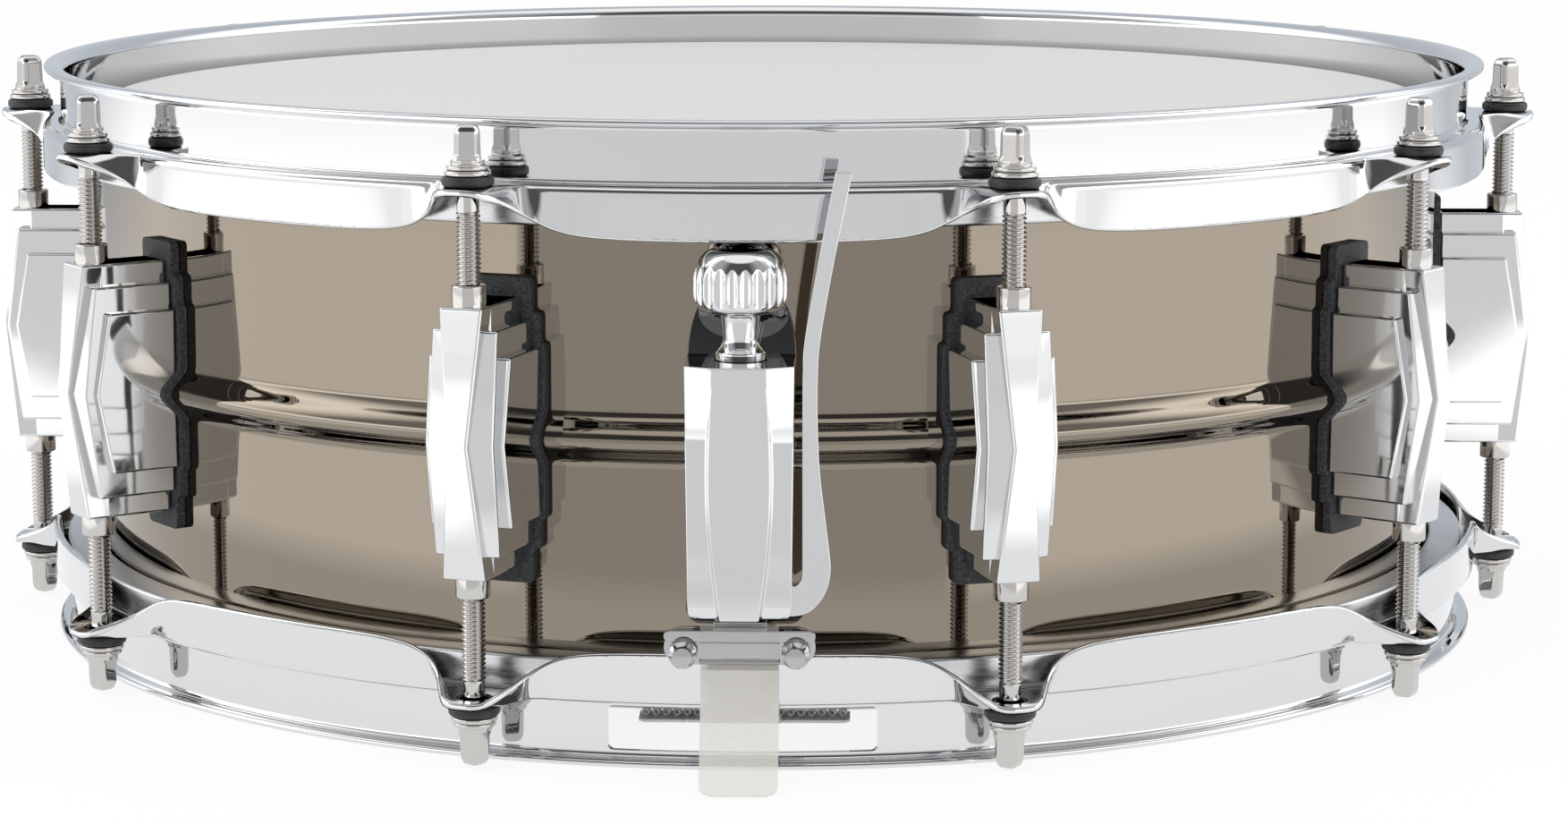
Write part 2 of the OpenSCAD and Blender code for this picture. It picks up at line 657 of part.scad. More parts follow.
// The stem in the body, with a foot that carries the fixed jaw
module snare_clamp() color(chrome) difference() {
    stem_w = slide_w - 1;
    foot_top = clamp_z + 1.3;
    union() {
        outwards(slide_in_r + move_gap, slide_out_r - move_gap)
            translate([-stem_w / 2, clamp_z - 0.9]) square([stem_w, stem_z - clamp_z + 0.9]);
        outwards(slide_in_r + move_gap, jaw_out_r)
            translate([-stem_w / 2, clamp_z - 0.9]) square([stem_w, foot_top - clamp_z + 0.9]);
        outwards(jaw_in_r, jaw_out_r) round_bar(clamp_w, clamp_h, clamp_low_z);
    }
    translate([0, -spindle_r, stem_z - 16]) cylinder(d = spindle_d + 2 * run_gap, h = 30);
    clamp_bores();
}
module clamp_bores() for (s = [-1, 1])
    spoke(clamp_screw_d + 2 * seat_gap, jaw_in_r - 5, plate_out_r + 5,
        x = s * clamp_screw_gap / 2, z = screw_row_z);
module pressure_plate() color(chrome) difference() {
    outwards(plate_in_r, plate_out_r) difference() {
        round_bar(clamp_w, clamp_h, clamp_low_z);
        for (s = [-1, 1]) translate([s * clamp_screw_gap / 2, screw_row_z])
            circle(d = clamp_screw_d + 2 * seat_gap);
    }
    translate([-strap_w / 2, -plate_out_r - 1, clamp_low_z + clamp_h * 0.35])
        cube([strap_w, 1.6, clamp_h * 0.2]);
}
module square_screws() color(chrome) for (s = [-1, 1]) {
    x = s * clamp_screw_gap / 2;
    end_r = plate_out_r + 5.6;
    spoke(clamp_screw_d, jaw_in_r + 0.1, plate_out_r + 2, x = x, z = screw_row_z);
    translate([x, 0, screw_row_z]) rotate([90, 0, 0]) translate([0, 0, plate_out_r + seat_gap]) {
        cylinder(d = 6, h = 1.2);
        translate([0, 0, 1.2]) cylinder(d1 = 5.2, d2 = 4.6, h = 2);
        translate([-1.7, -1.7, 3]) cube([3.4, 3.4, end_r - plate_out_r - 3]);
    }
}
module clamp_plate() pressure_plate();
module clamp_screws() square_screws();

// From the end plate out through the gate, up into the clamp, over the plate and down to a free end
strap_r = jaw_out_r + seat_gap + strap_t / 2;
tail_r = plate_out_r + seat_gap + strap_t / 2 + 0.2;
gate_run_z = -gate_z - 1.95;
fold_z = clamp_z + 1.2;
tail_end_z = -rim_z + 0.6;
strap_line = concat(
    [[wire_r + 0.5, end_plate_z - end_plate_t / 2], [wire_r + 7.2, gate_run_z - 2.5]],
    [[wall_in_r, gate_run_z - 0.1], [band_r - 2, gate_run_z], [band_r + 2.5, gate_run_z + 0.4]],
    [[strap_r - 2, gate_run_z + 2], [strap_r - 0.4, gate_run_z + 4.8], [strap_r, gate_run_z + 8]],
    [[strap_r, clamp_z + 0.3], [strap_r + 0.35, fold_z - 0.3], [strap_r + 1.1, fold_z]],
    [[tail_r - 1.1, fold_z], [tail_r - 0.35, fold_z - 0.3], [tail_r, clamp_z + 0.3]],
    [for (i = [0:6]) let (u = i / 6)
        [tail_r + 11.8 * pow(u, 2.2), clamp_low_z + (tail_end_z - clamp_low_z) * u]]
);
module strap() color(milky) across(strap_w) polygon(ribbon(strap_line, strap_t));
module strap_front() strap();
module strap_rear() at_angle(180) strap();

// The butt plate holds the far ends of the snares in a fixed clamp
module butt_plate() color(chrome) at_angle(180) difference() {
    union() {
        across(butt_w) polygon([
            [shell_r - 3, butt_top_z], [shell_r + 8, butt_top_z], [jaw_out_r - 1.5, clamp_z + 8],
            [jaw_out_r, clamp_z + 5], [jaw_out_r, clamp_z - 1], [jaw_in_r, clamp_z - 1],
            [band_r + 2, clamp_z - 0.5], [shell_r + 9, clamp_z + 1], [shell_r - 3, clamp_z + 2]
        ]);
        outwards(jaw_in_r, jaw_out_r) round_bar(clamp_w, clamp_h, clamp_low_z);
    }
    within_shell(seat_gap, -shell_h, shell_h);
    for (z = butt_screw_zs) spoke(screw_d + 2 * seat_gap, shell_r - 5, shell_r + 7, z = z);
    clamp_bores();
}
module butt_clamp() at_angle(180) pressure_plate();
module butt_screws() at_angle(180) square_screws();

module snare_wires() color(satin) for (i = [0:strand_count - 1])
    translate([(i - (strand_count - 1) / 2) * strand_gap, -strand_r, strand_z])
        rotate([-90, 0, 0]) cylinder(d = strand_d, h = 2 * strand_r, $fn = 24);
module snare_end_plates() color(satin) for (a = [0, 180]) at_angle(a)
    translate([-end_plate_w / 2, -wire_r, end_plate_z - end_plate_t])
        cube([end_plate_w, end_plate_l, end_plate_t]);

module lifted() translate([0, 0, rim_z]) children();
lifted() shell();
lifted() vent_grommet();
lifted() batter_hoop();
lifted() batter_head();
lifted() batter_flesh_hoop();
lifted() snare_hoop();
lifted() snare_head();
lifted() snare_flesh_hoop();
for (i = [1:LUGS]) {
    lifted() lug(i);
    lifted() batter_rod(i);
    lifted() snare_rod(i);
}
lifted() lug_gaskets();
lifted() lug_nuts();
lifted() lug_screws();
lifted() rod_washers();
lifted() rod_cushions();
lifted() strainer_base();
lifted() strainer_body();
lifted() mount_screws();
lifted() strainer_slide();
lifted() strainer_lever();
lifted() lever_pivot();
lifted() tension_knob();
lifted() snare_clamp();
lifted() clamp_plate();
lifted() clamp_screws();
lifted() strap_front();
lifted() butt_plate();
lifted() butt_clamp();
lifted() butt_screws();
lifted() strap_rear();
lifted() snare_wires();
lifted() snare_end_plates();
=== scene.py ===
"""Looks of the snare drum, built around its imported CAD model.

Shapes are written in millimetres about the drum's middle plane, front towards -Y, and are
turned into metres in the part's frame when a mesh is made.
"""
import math

import bmesh
import bpy
from mathutils import Matrix, Vector


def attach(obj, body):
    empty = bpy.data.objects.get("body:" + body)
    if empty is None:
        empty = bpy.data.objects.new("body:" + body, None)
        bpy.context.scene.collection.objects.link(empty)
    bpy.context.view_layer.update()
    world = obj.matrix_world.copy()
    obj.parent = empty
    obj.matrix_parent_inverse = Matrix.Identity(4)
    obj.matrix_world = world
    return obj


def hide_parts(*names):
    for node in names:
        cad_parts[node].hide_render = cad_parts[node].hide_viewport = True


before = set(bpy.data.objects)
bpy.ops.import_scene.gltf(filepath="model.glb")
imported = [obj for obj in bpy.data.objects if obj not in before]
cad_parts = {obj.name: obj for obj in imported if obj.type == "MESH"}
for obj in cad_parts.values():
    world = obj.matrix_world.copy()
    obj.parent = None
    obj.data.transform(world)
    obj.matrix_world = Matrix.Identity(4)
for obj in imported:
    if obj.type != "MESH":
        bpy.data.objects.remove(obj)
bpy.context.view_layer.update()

MM = 0.001
MID = 74.0

# Sizes shared with the CAD source
SHELL_R, HALF_H, SHELL_T = 177.5, 63.5, 1.2
BEAD_H, BEAD_OUT, EDGE_IN = 13.5, 4.5, 4.5
VENT_D, VENT_Z, VENT_ANGLE = 7.0, 26.0, 72
FILM_T, FLESH_IN, FLESH_OUT, FLESH_H = 0.35, 177.95, 186.55, 8.0
HOOP_T, WALL_IN, WALL_OUT = 1.6, 183.7, 185.3
LIP_R, ROD_R, BAND_R, EAR_R = 189.3, 197.0, 190.0, 204.4
RIM_Z, FLANGE_Z, SKIRT_Z, FLESH_Z = 74.0, 59.15, 46.7, 57.5
BEND, ROD_HOLE = 1.8, 8.4
GATE_W, GATE_LOW, GATE_HIGH = 62.0, 60.3, 70.8
WASHER_Z, COLLAR_Z, HEAD_Z = 61.55, 62.95, 73.15
LUG_Z, LUG_RISE, NUT_OUT, GASKET_T = 31.0, 1.4, 4.7, 2.4
BODY_Z, BODY_LOW, SPINDLE_R = 20.9, -36.1, 191.4
BASE_FRONT, BODY_SIDE, PANEL_FRONT = 187.6, 202.2, 204.4
LEVER_IN, LEVER_OUT, PIVOT = 197.0, 200.6, (9.0, -31.3)
KNOB_Z, KNOB_LOW, KNOB_R = 45.9, 31.7, 10.6
SLIDE_Z, STEM_Z = 19.1, -5.9
CLAMP_LOW, CLAMP_Z, CLAMP_W = -46.7, -38.7, 34.0
JAW_IN, JAW_OUT, PLATE_IN, PLATE_OUT = 196.3, 197.9, 198.5, 201.7
SCREW_X, SCREW_Z = 12.6, -43.7
STRAP_W, STRAP_T = 17.6, 0.5
STRAND_Z, PLATE_R, STRAND_R, STRAND_GAP = -65.2, 171.8, 170.0, 2.4
LUG_COUNT, LUG_STEP = 10, 36
LUG_ANGLES = [LUG_STEP // 2 + LUG_STEP * i for i in range(LUG_COUNT)]
TAGS = ["%02d" % i for i in range(1, LUG_COUNT + 1)]


def cosd(a):
    return math.cos(math.radians(a))


def sind(a):
    return math.sin(math.radians(a))


def spread(a, b, n):
    """n + 1 even steps from a to b."""
    return [a + (b - a) * i / n for i in range(n + 1)]


def arc(cx, cy, r, a0, a1, n):
    """n + 1 points on a circle from the angle a0 to a1."""
    return [(cx + r * cosd(a), cy + r * sind(a)) for a in spread(a0, a1, n)]


def smooth_step(t):
    t = min(max(t, 0.0), 1.0)
    return t * t * (3 - 2 * t)


def polar(phi, r, z):
    """A point at an angle round the drum, counted from the front."""
    return (r * sind(phi), -r * cosd(phi), z)


def curve(points, n):
    """A smooth line through points."""
    out = []
    for i in range(len(points) - 1):
        p0, p1, p2 = points[max(i - 1, 0)], points[i], points[i + 1]
        p3 = points[min(i + 2, len(points) - 1)]
        for t in [k / n for k in range(n)]:
            out.append(tuple(0.5 * (2 * b + (c - a) * t + (2 * a - 5 * b + 4 * c - d) * t * t
                                    + (3 * b - a - 3 * c + d) * t ** 3)
                             for a, b, c, d in zip(p0, p1, p2, p3)))
    return out + [tuple(points[-1])]


def turn(phi):
    return Matrix.Rotation(math.radians(phi), 4, "Z")


def mirror(side):
    """Leaves a form as it is for side 1, and swaps its top and bottom for -1."""
    return Matrix.Scale(side, 4, Vector((0, 0, 1)))


SAME = Matrix.Identity(4)
FLIP = Matrix.Rotation(math.pi, 4, "Y")
BACK = turn(180)
TO_ROD = Matrix.Translation((0, -ROD_R, 0))
BEVEL_ANGLE = 25


class Form:
    """Points and faces of one mesh, in millimetres."""

    def __init__(self):
        self.verts, self.faces = [], []

    def ring(self, points):
        start = len(self.verts)
        self.verts += [tuple(p) for p in points]
        return list(range(start, len(self.verts)))

    def bridge(self, a, b):
        """Faces between two rings of equal length."""
        for i in range(len(a)):
            j = (i + 1) % len(a)
            self.faces.append((a[i], a[j], b[j], b[i]))

    def grid(self, rows, loop=False):
        """Joins rows of points into a tube, or into a ring where it loops."""
        rings = [self.ring(row) for row in rows]
        for a, b in zip(rings, rings[1:] + rings[:1] if loop else rings[1:]):
            self.bridge(a, b)
        return rings

    def solid(self, rows):
        """Joins rows of points into a closed body with flat ends."""
        rings = self.grid(rows)
        self.cap(rings[0])
        self.cap(rings[-1])
        return self

    def cap(self, ring, peak=None):
        """Closes a ring by one face, or by a fan round its peak."""
        if peak is None:
            self.faces.append(tuple(ring))
            return
        tip = len(self.verts)
        self.verts.append(tuple(peak))
        for i in range(len(ring)):
            self.faces.append((ring[i], ring[(i + 1) % len(ring)], tip))

    def add(self, other, matrix=None):
        start = len(self.verts)
        for v in other.verts:
            self.verts.append(tuple(matrix @ Vector(v)) if matrix else v)
        self.faces += [tuple(i + start for i in f) for f in other.faces]
        return self

    def moved(self, matrix):
        return Form().add(self, matrix)

    def mesh(self, name):
        points = [(x * MM, y * MM, (z + MID) * MM) for x, y, z in self.verts]
        made = bpy.data.meshes.new(name)
        made.from_pydata(points, [], self.faces)
        return made


def lathe(profile, n, loop=True, radius=None):
    """Turns a line of (r, z) about the Z axis; radius(angle, r, z) may shape each ring."""
    form = Form()
    rows = []
    for r, z in profile:
        row = []
        for i in range(n):
            a = 360 * i / n
            q = radius(a, r, z) if radius else r
            row.append((q * cosd(a), q * sind(a), z))
        rows.append(row)
    form.grid(rows, loop=loop)
    return form


def solid_lathe(profile, n, radius=None, peak=0):
    """As lathe, for a line that starts and ends near the axis; its ends are closed."""
    form = lathe(profile, n, False, radius)
    last = len(form.verts) - n
    form.cap(list(range(n)), (0, 0, profile[0][1]))
    form.cap(list(range(last, last + n)), (0, 0, profile[-1][1] + peak))
    return form


def prism(outline, r0, r1):
    """An outline of (x, z) carried outwards from r0 to r1 at the front."""
    return Form().solid([[(x, -r, z) for x, z in outline] for r in (r0, r1)])


def spoke(x, z, form):
    """Turns a form made about Z so that its Z points outwards at the front."""
    return form.moved(Matrix.Translation((x, 0, z)) @ Matrix.Rotation(math.pi / 2, 4, "X"))


def at_lugs(form, *flips):
    """Copies of a form at every lug, for each way that it is turned over."""
    out = Form()
    for phi in LUG_ANGLES:
        for flip in flips:
            out.add(form, turn(phi) @ flip)
    return out


def placed(name, data):
    """A new object in the scene."""
    obj = bpy.data.objects.new(name, data)
    bpy.context.collection.objects.link(obj)
    return obj


def piece(name, form, mat, body, nodes, sharp=35, bevel=0, bevel_n=3):
    """Makes a mesh of a form, puts it on a body and hides the CAD nodes it stands for."""
    mesh = form.mesh(name)
    bm = bmesh.new()
    bm.from_mesh(mesh)
    bmesh.ops.recalc_face_normals(bm, faces=bm.faces)
    bm.to_mesh(mesh)
    bm.free()
    mesh.materials.append(mat)
    mesh.polygons.foreach_set("use_smooth", [True] * len(mesh.polygons))
    if not bevel:
        mesh.set_sharp_from_angle(angle=math.radians(sharp))
    obj = placed(name, mesh)
    if bevel:
        mod = obj.modifiers.new("edges", "BEVEL")
        mod.width = bevel * MM
        mod.segments = bevel_n
        mod.limit_method = "ANGLE"
        mod.angle_limit = math.radians(BEVEL_ANGLE)
        mod.harden_normals = True
        mod.use_clamp_overlap = True
    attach(obj, body)
    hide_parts(*nodes)
    return obj


# Materials

def material(name, color, metallic, roughness):
    mat = bpy.data.materials.new(name)
    mat.use_nodes = True
    shader = mat.node_tree.nodes["Principled BSDF"]
    shader.inputs["Base Color"].default_value = (*color, 1)
    shader.inputs["Metallic"].default_value = metallic
    shader.inputs["Roughness"].default_value = roughness
    return mat, mat.node_tree, shader


def link(tree, a, b):
    tree.links.new(a, b)


def noise(tree, scale, detail, stretch=None):
    """Cloudy noise fixed to the piece, drawn out along the axes by stretch."""
    coord = tree.nodes.new("ShaderNodeTexCoord")
    tex = tree.nodes.new("ShaderNodeTexNoise")
    tex.inputs["Scale"].default_value = scale
    tex.inputs["Detail"].default_value = detail
    out = coord.outputs["Object"]
    if stretch:
        mapping = tree.nodes.new("ShaderNodeMapping")
        mapping.inputs["Scale"].default_value = stretch
        link(tree, out, mapping.inputs["Vector"])
        out = mapping.outputs["Vector"]
    link(tree, out, tex.inputs["Vector"])
    return tex.outputs["Fac"]


def ranged(tree, value, low, high, start=0.3, end=0.7):
    """Turns start to end into low to high, clamped at both."""
    node = tree.nodes.new("ShaderNodeMapRange")
    for key, number in zip(("From Min", "From Max", "To Min", "To Max"), (start, end, low, high)):
        node.inputs[key].default_value = number
    link(tree, value, node.inputs["Value"])
    return node.outputs["Result"]


def bumped(tree, shader, height, strength, distance=0.0002):
    bump = tree.nodes.new("ShaderNodeBump")
    bump.inputs["Strength"].default_value = strength
    bump.inputs["Distance"].default_value = distance
    link(tree, height, bump.inputs["Height"])
    link(tree, bump.outputs["Normal"], shader.inputs["Normal"])


def mixed(tree, factor, a, b):
    """Blends two colours, each a tuple or the output of a node."""
    node = tree.nodes.new("ShaderNodeMix")
    node.data_type = "RGBA"
    link(tree, factor, node.inputs["Factor"])
    for key, v in (("A", a), ("B", b)):
        if isinstance(v, tuple):
            node.inputs[key].default_value = (*v, 1)
        else:
            link(tree, v, node.inputs[key])
    return node.outputs["Result"]


def painted(tree, shader, tint, rough):
    link(tree, tint, shader.inputs["Base Color"])
    link(tree, rough, shader.inputs["Roughness"])


def plated(name, color, shade, low, high, peel=0.012):
    """Polished plate with faint haze and the slight waviness of a plated surface."""
    mat, tree, shader = material(name, color, 1.0, low)
    painted(tree, shader, mixed(tree, noise(tree, 18, 2), color, shade),
            ranged(tree, noise(tree, 45, 4), low, high))
    bumped(tree, shader, noise(tree, 160, 1), peel)
    return mat


chrome = plated("chrome_plate", (0.695, 0.7, 0.706), (0.675, 0.681, 0.69), 0.025, 0.06)
nickel = plated("black_nickel_plate", (0.262, 0.226, 0.184), (0.251, 0.217, 0.176), 0.02, 0.045,
                peel=0.006)
clamp_metal = plated("clamp_metal", (0.46, 0.46, 0.465), (0.43, 0.43, 0.435), 0.03, 0.06)
# Painted shade: the bracket is coloured near black for the dark arch behind the knob
painted_shade_plate = plated("painted_shade_plate", (0.15, 0.15, 0.153), (0.13, 0.13, 0.133), 0.03, 0.07)
rod_plate = plated("rod_plate", (0.57, 0.553, 0.535), (0.54, 0.524, 0.507), 0.03, 0.07)


def satin_metal(name, color, stretch, shade, metallic=1.0):
    """Metal with a fine grain."""
    mat, tree, shader = material(name, color, metallic, 0.3)
    streak = noise(tree, 60, 5, stretch)
    darker = tuple(c * shade for c in color)
    painted(tree, shader, mixed(tree, streak, darker, color), ranged(tree, streak, 0.2, 0.3))
    bumped(tree, shader, streak, 0.4 * (1 - shade))
    return mat


aluminium = satin_metal("brushed_aluminium", (0.6, 0.605, 0.61), (0.5, 0.5, 22), 0.95)
steel = satin_metal("satin_steel", (0.46, 0.465, 0.475), (6, 6, 6), 0.86)
# Snare wires and end bars: painted light, a near-white colour that offsets the shadow under the
# drum
painted_light_wire_steel = satin_metal("painted_light_wire", (0.86, 0.86, 0.86), (6, 6, 6), 0.9, 0.25)


def rubber_like(name, color, speck, grain, strength, rough):
    """Black rubber with paler specks in its grain."""
    mat, tree, shader = material(name, color, 0.0, rough)
    dots = noise(tree, grain, 6)
    painted(tree, shader, mixed(tree, ranged(tree, dots, 0, 1, 0.45, 0.72), color, speck),
            ranged(tree, dots, rough - 0.12, rough + 0.1))
    bumped(tree, shader, dots, strength, 0.0006)
    return mat


rubber = rubber_like("moulded_rubber", (0.022, 0.023, 0.025), (0.085, 0.088, 0.093),
                     grain=1500, strength=0.5, rough=0.68)
soft_rubber = rubber_like("smooth_rubber", (0.012, 0.012, 0.013), (0.03, 0.03, 0.032),
                          grain=700, strength=0.15, rough=0.45)


def coated_film():
    """White sprayed coat of the batter head."""
    mat, tree, shader = material("coated_film", (0.65, 0.645, 0.636), 0.0, 0.5)
    spray = noise(tree, 2600, 4)
    tint = mixed(tree, noise(tree, 9, 3), (0.64, 0.635, 0.623), (0.67, 0.665, 0.653))
    painted(tree, shader, tint, ranged(tree, spray, 0.42, 0.62))
    bumped(tree, shader, spray, 0.12)
    return mat


def clear_film():
    """Hazy film of the snare head."""
    mat, tree, shader = material("hazy_film", (0.82, 0.85, 0.86), 0.0, 0.2)
    shader.inputs["Alpha"].default_value = 0.5
    tint = mixed(tree, noise(tree, 14, 3), (0.8, 0.83, 0.84), (0.86, 0.88, 0.89))
    painted(tree, shader, tint, ranged(tree, noise(tree, 60, 3), 0.14, 0.28))
    return mat


def milky_plastic(name, alpha):
    """Plastic of the straps, clearer where it is pressed."""
    mat, tree, shader = material(name, (0.75, 0.73, 0.69), 0.0, 0.3)
    shader.inputs["Alpha"].default_value = alpha
    tint = mixed(tree, noise(tree, 120, 3, (1, 1, 0.2)), (0.72, 0.7, 0.66), (0.78, 0.76, 0.72))
    painted(tree, shader, tint, ranged(tree, noise(tree, 300, 3), 0.24, 0.38))
    bumped(tree, shader, noise(tree, 60, 1), 0.02, 0.0004)
    return mat


white_coat = coated_film()
haze_film = clear_film()
strap_plastic = milky_plastic("milky_plastic", 0.49)
pressed_plastic = milky_plastic("pressed_plastic", 0.1)


# Shell

def bead(z):
    """How far the bead stands out at a height."""
    return BEAD_OUT * (1 + math.cos(math.tau * z / BEAD_H)) / 2 if abs(z) < BEAD_H / 2 else 0.0


def shell():
    """The wall in one-degree steps, with a round vent hole let into a square patch of it."""
    form = Form()
    around, step, reach, hole_r = 360, 3.1, 3, VENT_D / 2 + 1.2
    vent_rows = [VENT_Z + step * i for i in range(-reach, reach + 1)]
    low = [-HALF_H + EDGE_IN, -46, -33, -20, -12, -8.5]
    rows = low + spread(-BEAD_H / 2, BEAD_H / 2, 32) + [8.5, 12]
    rows += vent_rows + [42, 52, HALF_H - EDGE_IN]
    corner = SHELL_T * math.tan(math.pi / 8)
    slant = SHELL_T * math.sqrt(0.5)
    outer = [(SHELL_R - EDGE_IN, -HALF_H)] + [(SHELL_R + bead(z), z) for z in rows]
    outer += [(SHELL_R - EDGE_IN, HALF_H)]
    inner_r, edge_r = SHELL_R - SHELL_T, SHELL_R - EDGE_IN - slant
    inner = [(edge_r, slant - HALF_H), (inner_r, low[0] + corner)]
    inner += [(inner_r + bead(z), z) for z in rows[1:-1]]
    inner += [(inner_r, rows[-1] - corner), (edge_r, HALF_H - slant)]
    line = outer + inner[::-1]
    rings = [form.ring([polar(j, r, z) for j in range(around)]) for r, z in line]
    hole_rows = {}
    for start, part in ((0, outer), (len(outer), inner[::-1])):
        hole_rows[start] = [start + i for i, (r, z) in enumerate(part)
                            if vent_rows[0] - 0.01 < z < vent_rows[-1] + 0.01]
    left, right = VENT_ANGLE - reach, VENT_ANGLE + reach
    skip = {(i, j) for index in hole_rows.values() for i in range(index[0], index[-1])
            for j in range(left, right)}
    for i in range(len(rings)):
        a, b = rings[i], rings[(i + 1) % len(rings)]
        for j in range(around):
            k = (j + 1) % around
            if (i, j) not in skip:
                form.faces.append((a[j], a[k], b[k], b[j]))
    loops = []
    for start, wall_r in ((0, SHELL_R), (len(outer), inner_r)):
        index = hole_rows[start]
        first, last = index[0], index[-1]
        edge = [(first, j) for j in range(left, right)] + [(i, right) for i in range(first, last)]
        edge += [(last, j) for j in range(right, left, -1)]
        edge += [(i, left) for i in range(last, first, -1)]
        border = [rings[i][j] for i, j in edge]
        circle = []
        for i, j in edge:
            s = math.radians(j - VENT_ANGLE) * SHELL_R
            t = line[i][1] - VENT_Z
            scale = hole_r / math.hypot(s, t)
            angle = VENT_ANGLE + math.degrees(s * scale / SHELL_R)
            circle.append(polar(angle, wall_r, VENT_Z + t * scale))
        circle = form.ring(circle)
        form.bridge(border, circle)
        loops.append(circle)
    outside, inside = loops
    spots = [Vector(form.verts[v]) for v in inside]
    match = [min(range(len(inside)), key=lambda q: (Vector(form.verts[v]) - spots[q]).length)
             for v in outside]
    for i in range(len(outside)):
        j = (i + 1) % len(outside)
        form.faces.append((outside[i], outside[j], inside[match[j]], inside[match[i]]))
    return form


piece("shell_skin", shell(), nickel, "drum", ["shell"], sharp=40)


def vent_grommet():
    """A ring with a round lip on both sides of the wall."""
    r = VENT_D / 2
    line = [(r, -3), (r, 1.2)] + arc(r + 0.5, 1.25, 0.5, 180, 90, 4)
    line += arc(r + 1.7, 1.05, 0.7, 90, 0, 5) + [(r + 2.4, 0.15), (r + 1.15, 0.15)]
    line += [(r + 1.15, -1.35), (r + 2.4, -1.35)] + arc(r + 1.7, -2.3, 0.7, 0, -90, 4)
    ring = lathe([(q, z + SHELL_R) for q, z in line], 48)
    return spoke(0, VENT_Z, ring).moved(turn(VENT_ANGLE))


piece("vent_ring", vent_grommet(), soft_rubber, "drum", ["vent_grommet"])


# Heads

def film(side):
    """A head's film: flat, then drawn over the bearing edge into its flesh hoop."""
    top = [(r, HALF_H + 0.4) for r in (0.5, 60, 120, 171.5)]
    top += [(r, HALF_H + z) for r, z in ((173.5, 0.3), (175.1, -0.3), (176.4, -1.5), (177.3, -3.1),
                                         (177.8, -5), (177.88, -7.5))]
    top.append((177.88, FLESH_Z - 4))
    under = []
    for r, z in top:
        inward = 0.0 if z > HALF_H + 0.2 else FILM_T * 0.9
        downward = FILM_T if z > HALF_H - 2 else 0.0
        under.append((r - inward, z - downward))
    return lathe(top + under[::-1], 240).moved(mirror(side))


def flesh_ring(side):
    """A bar with rounded edges, bent into a ring."""
    edge, low, high = 0.9, FLESH_Z - FLESH_H, FLESH_Z - 0.05
    line = []
    for r, z, start in ((FLESH_IN + edge, low + edge, 180), (FLESH_OUT - edge, low + edge, 270),
                        (FLESH_OUT - edge, high - edge, 0), (FLESH_IN + edge, high - edge, 90)):
        line += arc(r, z, edge, start, start + 90, 4)
    return lathe(line, 360).moved(mirror(side))


piece("batter_film", film(1), white_coat, "drum", ["batter_head"])
piece("snare_film", film(-1), haze_film, "drum", ["snare_head"])
for side, word in ((1, "batter"), (-1, "snare")):
    piece(word + "_film_ring", flesh_ring(side), aluminium, "drum", [word + "_flesh_hoop"])


# Hoops

EAR_REACH, MOST_TWIST = 30, 1.3
# How far from its middle an ear has half come back and half gone down, and how steeply
EAR_BACK, EAR_DOWN = (9.2, 4), (11.8, 3.5)
# How far the flange goes on at an ear, and over which distance from its middle that ends
EAR_FLAT, EAR_FLAT_FROM, EAR_FLAT_FADE = 12, 3, 10
GATE_CORNER, GATE_FADE, GATE_ROWS = 1.5, 6, 3


def ease(t):
    return (1 - math.cos(math.pi * min(max(t, 0), 1))) / 2


def hoop_edge(phi):
    """Edge of the sheet, out at an ear and down between ears, and where its bend starts."""
    x = math.radians(abs(phi % LUG_STEP - LUG_STEP / 2)) * ROD_R + 0.01
    back = (EAR_R - BAND_R) / (1 + (EAR_BACK[0] / x) ** EAR_BACK[1])
    down = (FLANGE_Z - SKIRT_Z) / (1 + (EAR_DOWN[0] / x) ** EAR_DOWN[1])
    flat = EAR_FLAT * (1 - ease((x - EAR_FLAT_FROM) / EAR_FLAT_FADE))
    return Vector((EAR_R - back, FLANGE_Z - down)), BAND_R - BEND + flat


def skirt_section(phi):
    """Where the flange ends, the sheet's length past it, and its points by length and depth."""
    edge, bend_r = hoop_edge(phi)
    bend_z = FLANGE_Z - BEND
    away = Vector((edge.x - bend_r, bend_z - edge.y))
    angle = math.atan2(away.y, away.x) + math.asin(BEND / away.length)
    along = Vector((math.cos(angle), -math.sin(angle)))
    normal = Vector((math.sin(angle), math.cos(angle)))
    arc_length = BEND * angle
    end = arc_length + math.sqrt(away.length_squared - BEND ** 2)
    change = hoop_edge(phi + 0.1)[0] - hoop_edge(phi - 0.1)[0]
    twist = normal.dot(change) / (math.radians(0.2) * ROD_R)

    def at(length, depth):
        depth *= min(math.hypot(1, twist * length / end), MOST_TWIST)
        a = min(length / BEND, angle)
        r = bend_r + (BEND - depth) * math.sin(a)
        z = bend_z + (BEND - depth) * math.cos(a)
        past = max(length - arc_length, 0)
        return (r + along.x * past, z + along.y * past)
    return bend_r, end, at


def gate_row(phi, z):
    """Moves the gate's edge rows in at its round corners."""
    d = GATE_W / 2 - WALL_OUT * abs(sind(phi))
    if z not in (GATE_LOW, GATE_HIGH) or d > GATE_CORNER or d < -GATE_FADE:
        return z
    lift = GATE_CORNER - math.sqrt(max(GATE_CORNER ** 2 - (GATE_CORNER - max(d, 0)) ** 2, 0))
    lift *= 1 if d >= 0 else max(0, 1 + d / GATE_FADE)
    return z + lift if z == GATE_LOW else z - lift


